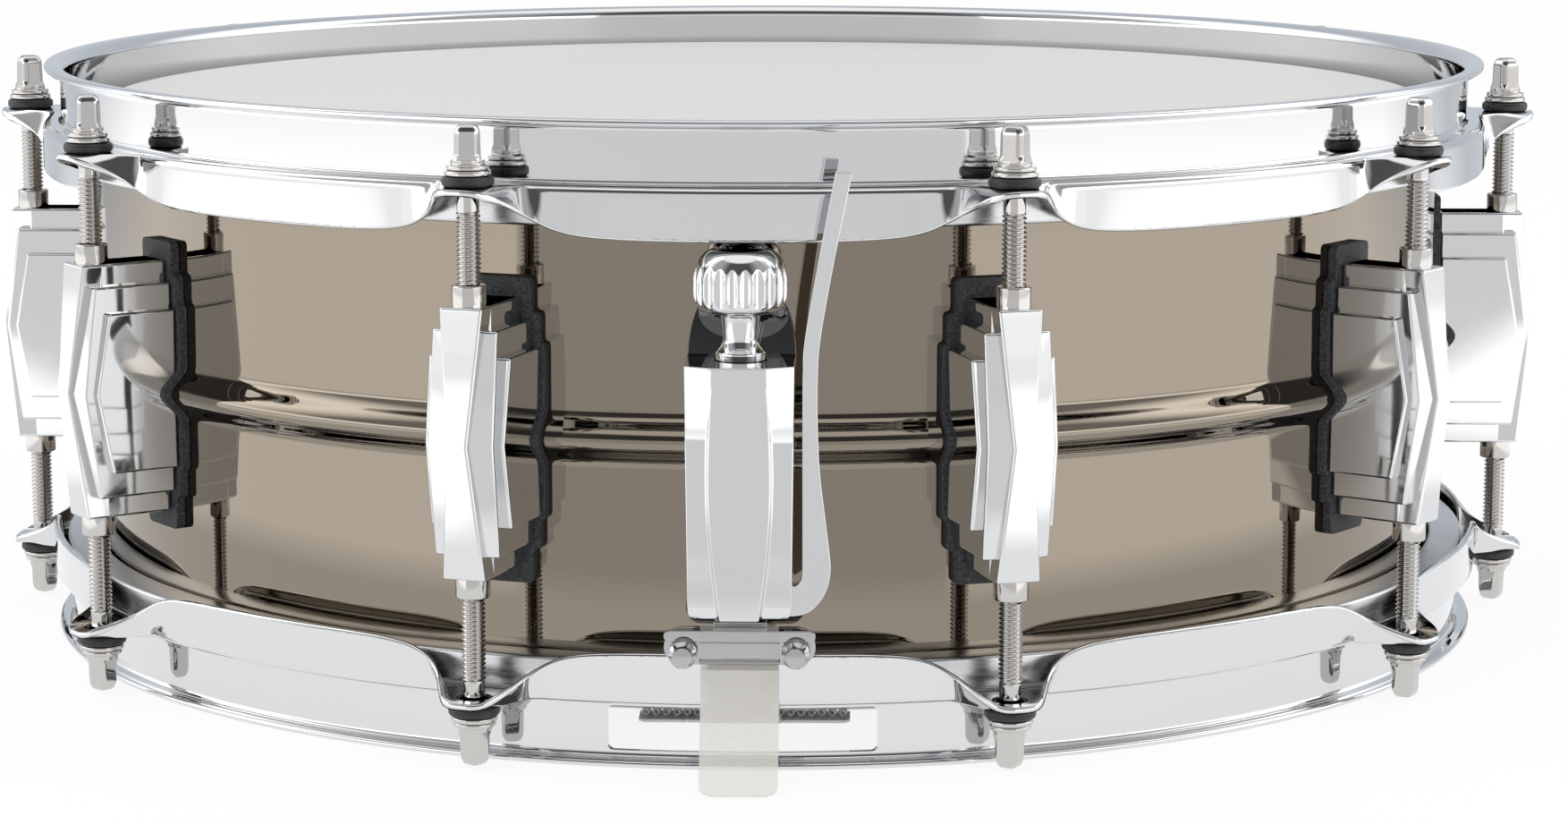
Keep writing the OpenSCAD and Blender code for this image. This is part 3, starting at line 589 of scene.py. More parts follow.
def hoop(gates):
    """A hoop as on the batter side: rim, wall, flange and skirt, perhaps with the snare gates."""
    form = Form()
    half_ear = math.degrees(EAR_REACH / ROD_R)
    offsets = spread(0, half_ear, EAR_REACH) + spread(half_ear, LUG_STEP / 2, 8)[1:]
    angles = {round(c + s * o, 5) % 360 for c in LUG_ANGLES for o in offsets for s in (-1, 1)}
    if gates:
        # Closer together at the gates' round corners
        for x in (29.5, 30, 30.4, 30.7, 30.9, 31, 33, 37):
            a = math.degrees(math.asin(x / WALL_OUT))
            angles |= {round(q, 5) % 360 for q in (a, -a, 180 + a, 180 - a)}
    angles = sorted(angles)
    lip, rim_bend, foot_bend, steps = 0.8, 3.0, 1.0, 22
    wall = [GATE_HIGH, 67.3, 63.8, GATE_LOW, 60.15]
    rim_at = (WALL_IN + rim_bend, RIM_Z - rim_bend)
    foot_at = (WALL_OUT + foot_bend, FLANGE_Z + foot_bend)
    outside = arc(LIP_R - lip, RIM_Z - lip, lip, 0, -90, 4) + [(187.6, RIM_Z - HOOP_T)]
    outside += arc(*rim_at, rim_bend - HOOP_T, 90, 180, 8)
    gate_top = len(outside)
    outside += [(WALL_OUT, z) for z in wall] + arc(*foot_at, foot_bend, 180, 270, 6)[1:]
    inside = arc(LIP_R - lip, RIM_Z - lip, lip, 0, 90, 4)[1:] + [(188, RIM_Z), (187.3, RIM_Z)]
    inside += arc(*rim_at, rim_bend, 90, 180, 8)
    inside_gate = len(inside)
    inside += [(WALL_IN, z) for z in wall] + arc(*foot_at, foot_bend + HOOP_T, 180, 270, 6)[1:]
    columns = []
    for phi in angles:
        flat_r, end, at = skirt_section(phi)
        fix = (lambda z: gate_row(phi, z)) if gates else (lambda z: z)
        flange = spread(foot_at[0], flat_r, 5)[1:-1]
        out = [(r, fix(z)) for r, z in outside] + [(r, FLANGE_Z) for r in flange]
        out += [at(end * i / steps, 0) for i in range(steps)]
        inn = [(r, fix(z)) for r, z in inside] + [(r, FLANGE_Z - HOOP_T) for r in flange]
        inn += [at(end * i / steps, HOOP_T) for i in range(steps)]
        edge = HOOP_T / 2
        tip = [at(end - edge + edge * cosd(a), edge - edge * sind(a)) for a in spread(90, -90, 6)]
        columns.append((phi, out + tip + inn[::-1]))
    rings = [form.ring([polar(phi, r, z) for r, z in line]) for phi, line in columns]
    count = len(columns[0][1])
    start_in = count - inside_gate - 1
    for c in range(len(rings)):
        a, b = rings[c], rings[(c + 1) % len(rings)]
        p, q = angles[c], angles[(c + 1) % len(rings)]
        x = max(abs(sind(p)), abs(sind(q))) * WALL_OUT
        is_open = gates and x < GATE_W / 2 + 0.01
        for i in range(count):
            j = (i + 1) % count
            hole = 0 <= i - gate_top < GATE_ROWS or 0 < start_in - i <= GATE_ROWS
            if not (is_open and hole):
                form.faces.append((a[i], a[j], b[j], b[i]))
        if is_open:
            for i, j in ((gate_top, start_in), (gate_top + GATE_ROWS, start_in - GATE_ROWS)):
                form.faces.append((a[i], b[i], b[j], a[j]))
            for ring, angle in ((a, p), (b, q)):
                if abs(abs(sind(angle)) * WALL_OUT - GATE_W / 2) < 0.01:
                    for i in range(GATE_ROWS):
                        form.faces.append((ring[gate_top + i], ring[gate_top + i + 1],
                                           ring[start_in - i - 1], ring[start_in - i]))
    return form


def cut(obj, form, sharp=None):
    """Takes a form away from a piece for good."""
    tool = placed("cutter", form.mesh("cutter"))
    mod = obj.modifiers.new("opening", "BOOLEAN")
    mod.operation = "DIFFERENCE"
    mod.solver = "EXACT"
    mod.object = tool
    bpy.context.view_layer.update()
    graph = bpy.context.evaluated_depsgraph_get()
    made = bpy.data.meshes.new_from_object(obj.evaluated_get(graph))
    if sharp:
        made.set_sharp_from_angle(angle=math.radians(sharp))
    obj.modifiers.clear()
    obj.data = made
    bpy.data.objects.remove(tool)


def post(r, z0, z1, station):
    """An upright pin at the front, at a distance from the drum's axis."""
    return solid_lathe([(r, z0), (r, z1)], 64).moved(Matrix.Translation((0, -station, 0)))


HOOP_SHARP = 50
ear_holes = at_lugs(post(ROD_HOLE / 2, FLANGE_Z - HOOP_T - 1, FLANGE_Z + 1, ROD_R), SAME)
cut(piece("batter_rim", hoop(False), chrome, "drum", ["batter_hoop"]),
    ear_holes, HOOP_SHARP)
cut(piece("snare_rim", hoop(True).moved(mirror(-1)), chrome, "drum", ["snare_hoop"]),
    ear_holes.moved(FLIP), HOOP_SHARP)


# Tension rods

PITCH, THREAD_TOP, THREAD_LOW = 1.06, 53.9, 33.0


def rod():
    """A key rod: threaded shank, which is plain inside the lug, and head."""
    form = Form()
    n, per_turn, low_end, shank, neck = 32, 7, 19.4, 2.7, 2.55
    root, rise, run_out = 2.26, 0.54, 0.54
    rows = [[(2.2, low_end)] * n, [(shank, 20.0)] * n, [(shank, THREAD_LOW)] * n]
    count = int((THREAD_TOP - THREAD_LOW) / PITCH * per_turn)
    for z in spread(THREAD_LOW, THREAD_TOP, count):
        row = []
        for i in range(n):
            t = (z / PITCH - i / n) % 1
            depth = 1 - abs(2 * t - 1)
            crest = min(max((depth - 0.18) / 0.64, 0), 1)
            fade = smooth_step((THREAD_TOP - z) / 1.2)
            row.append((root + rise * (crest * fade + run_out * (1 - fade)), z))
        rows.append(row)
    rows += [[(neck, THREAD_TOP + 0.3)] * n, [(neck, COLLAR_Z)] * n]
    angles = [360 * i / n for i in range(n)]
    rings = form.grid([[(r * cosd(a), r * sind(a), z) for a, (r, z) in zip(angles, row)]
                       for row in rows])
    form.cap(rings[0], (0, 0, low_end))
    return form.add(rod_head()).moved(TO_ROD)


def rod_head():
    """Collar, round boss and square key end, its flats cut down into the boss."""
    boss, top = COLLAR_Z + 1.1, HEAD_Z
    notch, dome_h, dome_in = 1.1, 2.4, 0.5
    ball_r, ball_h, bar_r, flat_r, taper = 3.9, 3.5, 3.5, 3.02, 0.03

    def radius(a, r, z):
        t = z - boss
        if t <= 0.001:
            return r
        ball = ball_r * math.sqrt(max(1 - (max(t - 0.6, 0) / ball_h) ** 2, 0))
        bar = max(ball + 0.3 * max(0, 1 - t / 0.4) ** 2, bar_r - taper * t)
        flat = (flat_r - taper * t) / max(abs(cosd(a)), abs(sind(a)))
        if t > notch:
            bar = min(bar, flat)
        rise = max((z - top + dome_h) / dome_h, 0)
        return bar * (1 - dome_in * (1 - math.sqrt(max(1 - rise * rise, 0))))

    e, collar_r = 0.42, 4.9
    line = [(2.5, COLLAR_Z)] + arc(collar_r - e, COLLAR_Z + e, e, 270, 360, 4)
    line += arc(collar_r - e, boss - e, e, 0, 90, 4)
    line += [(4.3, boss)]
    line += [(0, boss + t) for t in spread(0.1, notch, 6) + spread(notch + 0.03, 3.6, 10)]
    line += [(0, z) for z in spread(boss + 4.4, top - dome_h, 4)]
    line += [(0, top - dome_h + dome_h * sind(a)) for a in spread(8, 90, 9)]
    return solid_lathe(line, 64, radius, peak=0.08)


def edged_ring(r0, r1, z0, z1, e):
    """A ring round a rod, its outer edges rounded by e."""
    line = [(r0, z1), (r0, z0)] + arc(r1 - e, z0 + e, e, 270, 360, 4)
    line += arc(r1 - e, z1 - e, e, 0, 90, 4)
    return lathe(line, 48).moved(TO_ROD)


rod_form = rod()
FIRST_TURN, NEXT_TURN = 11, 37
for tag, phi in zip(TAGS, LUG_ANGLES):
    spin = TO_ROD @ turn(FIRST_TURN + NEXT_TURN * int(tag)) @ TO_ROD.inverted()
    for word, flip in (("batter", SAME), ("snare", FLIP)):
        piece("%s_key_rod_%s" % (word, tag), rod_form.moved(turn(phi) @ flip @ spin), rod_plate,
              "rod_%s_%s" % (word, tag), ["%s_rod_%s" % (word, tag)], sharp=42)

BORE_R = 3.2
LUG_LIFT = Matrix.Translation((0, 0, LUG_RISE))
washer = edged_ring(BORE_R, 5.35, WASHER_Z + 0.05, WASHER_Z + 1.33, 0.5)
cushion = edged_ring(BORE_R, 5.95, FLANGE_Z + 0.05, WASHER_Z, 0.9)
nut = edged_ring(2.9, 4.0, LUG_Z - 2, LUG_Z + NUT_OUT, 0.45)
piece("key_rod_washers", at_lugs(washer, SAME, FLIP), rod_plate, "drum", ["rod_washers"])
piece("key_rod_cushions", at_lugs(cushion, SAME, FLIP), soft_rubber, "drum", ["rod_cushions"])
piece("tube_nuts", at_lugs(nut, SAME, FLIP).moved(LUG_LIFT), rod_plate, "drum", ["lug_nuts"])


# Lugs

def lug_step(w, h, front, point, waist, ridge=None):
    """One step of a lug, folded forward at the waist; a ridge slopes it up to the step before."""
    rows = []
    back, slope = SHELL_R + GASKET_T + 0.1, 0.2
    for z, half, r, ends in ((-h, w, front, 0), (0, waist, front + point, 1), (h, w, front, 0)):
        row = [(-half, -back, z), (half, -back, z), (half, -r, z)]
        if ridge:
            top = r + slope * (half - ridge[ends])
            row += [(ridge[ends], -top, z), (-ridge[ends], -top, z)]
        rows.append(row + [(-half, -r, z)])
    return Form().solid(rows)


def rounded(points, r, n=4):
    """A closed outline with its corners rounded and its long sides cut up."""
    points = [Vector(p) for p in points]
    bends = []
    for a, p, b in zip(points[-1:] + points, points, points[1:] + points[:1]):
        start = p + (a - p).normalized() * min(r, (a - p).length / 2)
        end = p + (b - p).normalized() * min(r, (b - p).length / 2)
        bends += [start * (1 - t) ** 2 + p * 2 * t * (1 - t) + end * t * t for t in spread(0, 1, n)]
    line = []
    for a, b in zip(bends, bends[1:] + bends[:1]):
        steps = math.ceil((b - a).length)
        line += [a.lerp(b, i / steps) for i in range(steps)]
    return line


def gasket():
    """The rubber behind a lug: a stepped frame that follows the wall and the bead."""
    quarter = [(7.65, 35.4), (7.65, 27.4), (9.5, 27.4), (9.5, 20.3), (10.8, 20.3)]
    right = quarter + [(x, -z) for x, z in reversed(quarter)]
    line = rounded(right + [(-x, -z) for x, z in right], 1.4)
    whole, window, seat = (1, 1), (0.5, 0.84), 0.05
    frames = ((seat, whole), (GASKET_T, whole), (GASKET_T, window), (seat, window))
    rows = []
    for lift, (wide, high) in frames:
        row = []
        for x, z in line:
            r = SHELL_R + bead(z * high + LUG_RISE) + lift
            row.append((x * wide, -math.sqrt(r * r - (x * wide) ** 2), z * high + LUG_RISE))
        rows.append(row)
    form = Form()
    form.grid(rows, loop=True)
    return form


piece("lug_pads", at_lugs(gasket(), SAME), rubber, "drum", ["lug_gaskets"], bevel=0.6)

# Half widths of the front step at its ends and waist, and how far each waist stands out
RIDGE, POINT = (5.25, 2.6), 3.5
lug_form = lug_step(RIDGE[0], LUG_Z, ROD_R + 5.1, POINT, RIDGE[1])
lug_form.add(lug_step(7.9, 25.8, ROD_R + 2.9, POINT, 8.1, RIDGE))
lug_form.add(lug_step(10.0, 19.5, ROD_R + 0.3, POINT, 9.7))
lug_form.add(lug_step(RIDGE[0], LUG_Z, ROD_R + 0.2, 0.0, RIDGE[0]))
lug_form = lug_form.moved(LUG_LIFT)
for tag, phi in zip(TAGS, LUG_ANGLES):
    piece("lug_casting_" + tag, lug_form.moved(turn(phi)), chrome, "drum", ["lug_" + tag],
          bevel=0.65)


# Strainer

BODY_HALF, FOOT_HALF, BODY_FLARE, WALL_R = 12.3, 11.6, 0.7, 177.0


def strainer_body():
    """The case: a bowed panel in front, between two wings that lean back to its sides."""
    rows = []
    back, edge, foot_h, foot_in = BASE_FRONT + 0.1, 0.25, 2, 1.4
    foot = [BODY_LOW, BODY_LOW + 0.4, BODY_LOW + 1.2]
    for z in foot + spread(BODY_LOW + 3, BODY_Z - 1, 16) + [BODY_Z]:
        u = (z - BODY_LOW) / (BODY_Z - BODY_LOW)
        below = max(1 - (z - BODY_LOW) / foot_h, 0)
        round_off = foot_in * (1 - math.sqrt(1 - below ** 2))
        half = FOOT_HALF + BODY_FLARE * u - round_off
        panel = 4.6 + 1.2 * u + 1.9 * math.sin(math.pi * u)
        shoulder = smooth_step((u - 0.66) / 0.16)
        side = BODY_SIDE - 0.5 * round_off - 1.3 * shoulder
        lean = 0.05 + 0.19 * smooth_step((u - 0.1) / 0.3) + 0.26 * shoulder
        front = PANEL_FRONT - 0.3 * (2 * u - 1) ** 2
        wing = min(side + lean * (half - panel), front - 0.1)
        right = [(panel - edge, front), (panel + edge, wing), (half, side), (half, back)]
        line = [(-x, r) for x, r in reversed(right)] + right
        rows.append([(x, -r, z) for x, r in line])
    return Form().solid(rows)


case = piece("strainer_case", strainer_body(), chrome, "drum", ["strainer_body"],
             bevel=0.55)
lever_slot = [(3.9, -42), (20, -42), (20, -26.5), (3.9, -26.5)]
knob_hole = post(5.95, 12.4, 30.0, SPINDLE_R)
cut(case, knob_hole.add(prism(lever_slot, LEVER_IN - 0.3, LEVER_OUT + 0.3)))


def arch():
    """The bracket's top behind the knob: a rounded tongue whose front leans back."""
    rows = []
    top, tongue_h, lean = 38.4, 19.5, 0.29
    for z in spread(BODY_Z - 3, top, 14):
        half = BODY_HALF * math.sqrt(max(1 - (max(z - BODY_Z + 1, 0) / tongue_h) ** 2, 0))
        front = 180.4 - (z - 28.5) * lean
        corners = ((-half, WALL_R), (half, WALL_R), (half, front), (-half, front))
        rows.append([(x, -r, z) for x, r in corners])
    return Form().solid(rows)


lower = [(FOOT_HALF, BODY_LOW), (BODY_HALF, BODY_Z), (-BODY_HALF, BODY_Z), (-FOOT_HALF, BODY_LOW)]
base = arch().add(prism(lower, 178.0, BASE_FRONT))
# Painted shade: the bracket takes the near-black plate for the dark arch behind the knob
piece("strainer_bracket", base, painted_shade_plate, "drum", ["strainer_base"], bevel=0.6)


def lever():
    """The lever from the front: its right edge, the round boss at its pin and its left edge."""
    right = [(24.9, 63.7), (20.95, 44), (18.0, 27), (17.4, 18), (17.4, 8), (17.9, -3), (19.2, -14)]
    right += [(20.15, -22), (20.3, -25.8), (19.6, -29.2), (18.0, -32.2), (15.8, -34.4)]
    right += [(13.2, -35.5), (10.6, -35.7)]
    boss = arc(*PIVOT, 4.4, 270, 90, 12)
    left = [(12.2, -28.7), (13.3, -27.9), (13.85, -26.5), (13.95, -23), (13.95, -5), (13.95, 12)]
    left += [(14.05, 20), (14.5, 27), (17.4, 44), (21.2, 63.9)]
    return prism(curve(right, 4) + boss + curve(left, 4), LEVER_IN, LEVER_OUT)


piece("throw_lever", lever(), chrome, "lever", ["strainer_lever"], bevel=0.6)


def knob():
    """Spindle, collar, waisted neck and fluted head, turned in one piece."""
    flutes, cutter, per_flute = 22, 1.35, 14
    spindle_r, under_r, under_h, dome_r, dome_h = 2.0, 3.2, 4.5, 5, 7.5

    def radius(a, r, z):
        if z < KNOB_LOW + 0.4:
            return r
        off = (a + 180 / flutes) % (360 / flutes) - 180 / flutes
        centre = KNOB_R + 0.62
        side = centre * sind(off)
        if abs(side) >= cutter:
            return r
        return min(r, centre * cosd(off) - math.sqrt(cutter ** 2 - side ** 2))

    line = [(1.4, STEM_Z - 13), (spindle_r, STEM_Z - 12), (spindle_r, SLIDE_Z + 0.3)]
    line += [(5.2, SLIDE_Z + 0.3), (5.65, SLIDE_Z + 0.8), (5.65, BODY_Z + 1.0)]
    line += arc(5.05, BODY_Z + 1.6, 0.75, -10, 55, 5) + [(4.5, BODY_Z + 3.4), (4.05, BODY_Z + 4.5)]
    line += [(3.95, BODY_Z + 5.2), (4.1, BODY_Z + 7.4), (4.45, KNOB_LOW - 1.2)]
    line += [(4.7, KNOB_LOW - 0.3), (5.1, KNOB_LOW), (7.4, KNOB_LOW + 0.05)]
    line += [(KNOB_R - under_r + under_r * sind(a), KNOB_LOW + 4.6 - under_h * cosd(a))
             for a in spread(4, 90, 16)]
    line += [(KNOB_R, z) for z in spread(KNOB_LOW + 5, KNOB_Z - 7.6, 4)]
    line += [(KNOB_R - dome_r + dome_r * cosd(a), KNOB_Z - dome_h + dome_h * sind(a))
             for a in spread(3, 79, 30)]
    line += [(6.3, KNOB_Z - 0.1), (6.1, KNOB_Z - 0.45), (0.6, KNOB_Z - 0.5)]
    turned = solid_lathe(line, flutes * per_flute, radius)
    return turned.moved(Matrix.Translation((0, -SPINDLE_R, 0)))


piece("snare_knob", knob(), chrome, "knob", ["tension_knob"], sharp=55)


# Clamps and straps

def bar_outline(w, low, high, n=12):
    """A bar with round ends, as (x, z)."""
    r = (high - low) / 2
    mid = (high + low) / 2
    return arc(w / 2 - r, mid, r, -90, 90, n) + arc(r - w / 2, mid, r, 90, 270, n)


def side_block(line, w):
    """A line of (r, z) carried sideways over the width w."""
    return Form().solid([[(x, -r, z) for r, z in line] for x in (-w / 2, w / 2)])


def clamp_plate():
    """A bar with round ends, a raised upper edge, and a hollow channel between its screws."""
    face = PLATE_OUT - 1.1
    plate = prism(bar_outline(CLAMP_W, CLAMP_LOW, CLAMP_Z), PLATE_IN, face)
    plate.add(prism(bar_outline(CLAMP_W, CLAMP_Z - 2.6, CLAMP_Z, 8), face - 0.5, PLATE_OUT))
    low, high = CLAMP_LOW + 0.7, CLAMP_Z - 2.3
    channel = arc(face + 1.9, (low + high) / 2, 2.55, 232, 128, 12)
    line = [(face - 0.5, CLAMP_LOW), (face, CLAMP_LOW), (PLATE_OUT - 0.15, low)] + channel
    line += [(PLATE_OUT - 0.15, high), (face - 0.5, high)]
    return plate.add(side_block(line, 2 * SCREW_X - 7.2))


def clamp_screws():
    """Two screws with a flange and a hexagonal end, each turned a little differently."""
    out = Form()
    r, hex_from, hex_half = PLATE_OUT + 0.05, 3.6, 2.2
    for x, spin in ((-SCREW_X, 18), (SCREW_X, 50)):
        def shape(a, q, z):
            if z < r + hex_from:
                return q
            return min(q, hex_half / max(abs(cosd((a + spin + 60 * k) % 360)) for k in range(3)))
        line = [(1.5, JAW_IN + 0.1), (1.5, r), (3.0, r)] + arc(2.85, r + 0.3, 0.35, 270, 360, 3)
        line += arc(2.85, r + 0.9, 0.35, 0, 90, 3) + [(2.75, r + 1.4), (3.1, r + 2.0)]
        line += [(3.1, r + 2.7), (2.55, r + hex_from), (2.45, r + 3.9), (2.4, r + 5.1)]
        line += [(2.2, r + 5.5), (0.9, r + 5.6)]
        out.add(spoke(x, SCREW_Z, solid_lathe(line, 48, shape)))
    return out


JAW = bar_outline(CLAMP_W, CLAMP_LOW, CLAMP_Z)
STEM_HALF, STEM_LOW, STEM_BACK, STEM_FRONT = 6, CLAMP_Z - 0.9, 188.2, 194.6
stem = Form()
for high, front in ((STEM_Z, STEM_FRONT), (CLAMP_Z + 1.3, JAW_OUT)):
    right = [(STEM_HALF, STEM_LOW), (STEM_HALF, high)]
    stem.add(prism(right + [(-x, z) for x, z in reversed(right)], STEM_BACK, front))
stem.add(prism(JAW, JAW_IN, JAW_OUT))
piece("clamp_jaw", stem, clamp_metal, "clamp", ["snare_clamp"], bevel=0.35)
piece("clamp_front", clamp_plate(), clamp_metal, "clamp", ["clamp_plate"], bevel=0.35)
piece("clamp_key_screws", clamp_screws(), clamp_metal, "clamp", ["clamp_screws"])
piece("butt_front", clamp_plate().moved(BACK), clamp_metal, "drum", ["butt_clamp"],
      bevel=0.35)
piece("butt_key_screws", clamp_screws().moved(BACK), clamp_metal, "drum", ["butt_screws"])

BUTT_Z, BUTT_W = -9.25, 26
butt_line = [(WALL_R, BUTT_Z), (185.5, BUTT_Z), (JAW_OUT - 1.5, CLAMP_Z + 8)]
butt_line += [(JAW_OUT, CLAMP_Z + 5), (JAW_OUT, CLAMP_Z - 1), (JAW_IN, CLAMP_Z - 1)]
butt_line += [(BAND_R + 2, CLAMP_Z - 0.5), (186.5, CLAMP_Z + 1), (WALL_R, CLAMP_Z + 2)]
butt = side_block(butt_line, BUTT_W).add(prism(JAW, JAW_IN, JAW_OUT)).moved(BACK)
piece("butt_casting", butt, chrome, "drum", ["butt_plate"], bevel=0.7)

STRAP_R = JAW_OUT + 0.3
TAIL_R = PLATE_OUT + 0.5
RUN_Z = -62.25
FOLD_Z = CLAMP_Z + 1.2


def strap():
    """A strip from the end plate through the gate, behind the clamp's plate, over it and down."""
    tail_out, tail_z, corner = 11.8, 0.6 - RIM_Z, 2.6
    tail = [(TAIL_R + tail_out * t ** 2.2, CLAMP_LOW + (tail_z - CLAMP_LOW) * t)
            for t in spread(0, 1, 6)]
    route = [(172.3, -66.65), (179, RUN_Z - 2.5), (WALL_IN, RUN_Z - 0.1), (BAND_R - 2, RUN_Z)]
    route += [(BAND_R + 2.5, RUN_Z + 0.4), (STRAP_R - 2, RUN_Z + 2), (STRAP_R - 0.4, RUN_Z + 4.8)]
    route += [(STRAP_R, RUN_Z + 8), (STRAP_R, CLAMP_Z - 2), (STRAP_R, CLAMP_Z + 0.3)]
    route += [(STRAP_R + 0.35, FOLD_Z - 0.3), (STRAP_R + 1.1, FOLD_Z), (TAIL_R - 1.1, FOLD_Z)]
    route += [(TAIL_R - 0.35, FOLD_Z - 0.3), (TAIL_R, CLAMP_Z + 0.3), (TAIL_R, CLAMP_Z - 2)]
    line = [Vector(p) for p in curve(route + tail, 6)]
    end = len(line) - 1
    left = 0.0
    widths = [0.0] * (end + 1)
    for i in range(end, -1, -1):
        if i < end:
            left += (line[i + 1] - line[i]).length
        d = min(left, corner)
        widths[i] = STRAP_W / 2 - corner + math.sqrt(max(corner ** 2 - (corner - d) ** 2, 0))
    rows = []
    for i, p in enumerate(line):
        along = (line[min(i + 1, end)] - line[max(i - 1, 0)]).normalized()
        side = Vector((-along.y, along.x)) * STRAP_T / 2
        xs = spread(-widths[i], widths[i], 8)
        rows.append([(x, -(p + side).x, (p + side).y) for x in xs]
                    + [(x, -(p - side).x, (p - side).y) for x in reversed(xs)])
    return Form().solid(rows)


PRESSED_Z = (CLAMP_LOW - 0.5 + MID) * MM
for name, rider, node, place in (("front_strap", "clamp", "strap_front", SAME),
                                 ("rear_strap", "drum", "strap_rear", BACK)):
    obj = piece(name, strap().moved(place), strap_plastic, rider, [node], sharp=60)
    obj.data.materials.append(pressed_plastic)
    for face in obj.data.polygons:
        face.material_index = int(face.center.z > PRESSED_Z)


# Snare wires

def strands():
    """Twenty coiled wires side by side."""
    out = Form()
    count, coil_r, wire_r, pitch, per_turn, around = 20, 0.76, 0.23, 1.9, 12, 5
    turns = int(2 * STRAND_R / pitch)
    rows = []
    for i in range(turns * per_turn + 1):
        a = 360 * i / per_turn
        y = -STRAND_R + pitch * i / per_turn
        wire = [(coil_r + u, v) for u, v in arc(0, 0, wire_r, 0, 360, around)[:-1]]
        rows.append([(q * cosd(a), y + v, q * sind(a)) for q, v in wire])
    one = Form().solid(rows)
    for i in range(count):
        out.add(one, Matrix.Translation(((i - (count - 1) / 2) * STRAND_GAP, 0, STRAND_Z)))
    return out


def end_plates():
    """The bars that hold the wires' ends, with their outer corners cut off."""
    half, inner_r, cut_off = 24.5, 162.8, 1.5
    right = [(half, inner_r), (half, PLATE_R - cut_off), (half - cut_off, PLATE_R)]
    line = right + [(-x, r) for x, r in reversed(right)]
    plate = Form().solid([[(x, -r, z) for x, r in line] for z in (-67.05, -66.25)])
    return Form().add(plate).add(plate, BACK)


# Painted light: the wires and end bars are coloured near white against the drum's shadow
piece("snare_coils", strands(), painted_light_wire_steel, "snares", ["snare_wires"])
piece("snare_end_bars", end_plates(), painted_light_wire_steel, "snares", ["snare_end_plates"],
      bevel=0.2, bevel_n=2)

# CAD pieces that keep their own shape
for name in ("lug_screws", "mount_screws", "strainer_slide", "lever_pivot"):
    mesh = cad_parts[name].data
    mesh.materials.clear()
    mesh.materials.append(steel)


# Stage, light and camera

# What the chrome sees: white panels, a grey gap, the rear, the roof and the near floor
GREY, REAR, DARK = (0.815, 0.82, 0.83), (0.6, 0.64, 0.69), (0.1, 0.1, 0.105)
NEAR, TOP_LIGHT = (1.1, 1.105, 1.11), (1.2, 1.2, 1.2)
WHITE, LOW_WHITE, HIGH_WHITE = (1.72, 1.72, 1.72), (1.24, 1.24, 1.24), (2.5, 2.5, 2.5)
# What everything else sees, and what the camera sees
PALE, BLANK = (0.86, 0.86, 0.86), (1.0, 1.0, 1.0)
# Each panel's edge: a level direction across it, and a point on the floor that it passes
LEFT = ((-0.7804, 0.6252), (-0.0512, -0.170))
RIGHT = ((0.8420, 0.5395), (0.0482, -0.1708))
# Rises (0 level, 1 straight up) over which the panels brighten, and roof and top light begin
BRIGHTEN, ROOF, ROOF_LIGHT = (0.06, 0.22), (0.30, 0.42), (0.84, 0.9)
# Directions (-1 front, 1 rear) over which the roof weakens, the roof ends and the rear begins
ROOF_SIDE, ROOF_END, REAR_START = (-0.9, -0.5), (-0.2, 0.3), (0.35, 0.75)
SIDE_SHARE = 0.84
# Distances in metres over which the near floor ends and the floor's panels fade
NEAR_END, FLOOR_FADE = (0.335, 0.385), (1.1, 2.0)
AIM, LAMP_SIZE = (0, 0, 0.07), 1.4


def calc(tree, op, a, b=None):
    """One step of arithmetic on values that are numbers or outputs of nodes."""
    node = tree.nodes.new("ShaderNodeMath")
    node.operation = op
    for i, v in enumerate((a, b)):
        if v is None:
            continue
        if isinstance(v, (int, float)):
            node.inputs[i].default_value = v
        else:
            link(tree, v, node.inputs[i])
    return node.outputs[0]


def studio(tree, x, y, white, offset, soft):
    """Two white panels with a grey gap in front, and a bluish grey rear."""
    sides = []
    for (nx, ny), (px, py) in (LEFT, RIGHT):
        d = calc(tree, "ADD", calc(tree, "MULTIPLY", x, nx), calc(tree, "MULTIPLY", y, ny))
        sides.append(calc(tree, "SUBTRACT", d, (nx * px + ny * py) * offset))
    lit = ranged(tree, calc(tree, "MAXIMUM", *sides), 0, 1, -soft, soft)
    color = mixed(tree, lit, GREY, white)
    squares = calc(tree, "ADD", calc(tree, "MULTIPLY", x, x), calc(tree, "MULTIPLY", y, y))
    length = calc(tree, "MAXIMUM", calc(tree, "SQRT", squares), 0.001)
    back = ranged(tree, calc(tree, "DIVIDE", y, length), 0, 1, *REAR_START)
    return mixed(tree, back, color, REAR)


def split(tree, vector):
    xyz = tree.nodes.new("ShaderNodeSeparateXYZ")
    link(tree, vector, xyz.inputs[0])
    return xyz.outputs[:]


def rays(tree):
    """Whether a ray is the camera's, and whether it is a reflection's."""
    path = tree.nodes.new("ShaderNodeLightPath").outputs
    seen = calc(tree, "MAXIMUM", path["Is Camera Ray"], path["Is Transmission Ray"])
    return seen, path["Is Glossy Ray"]


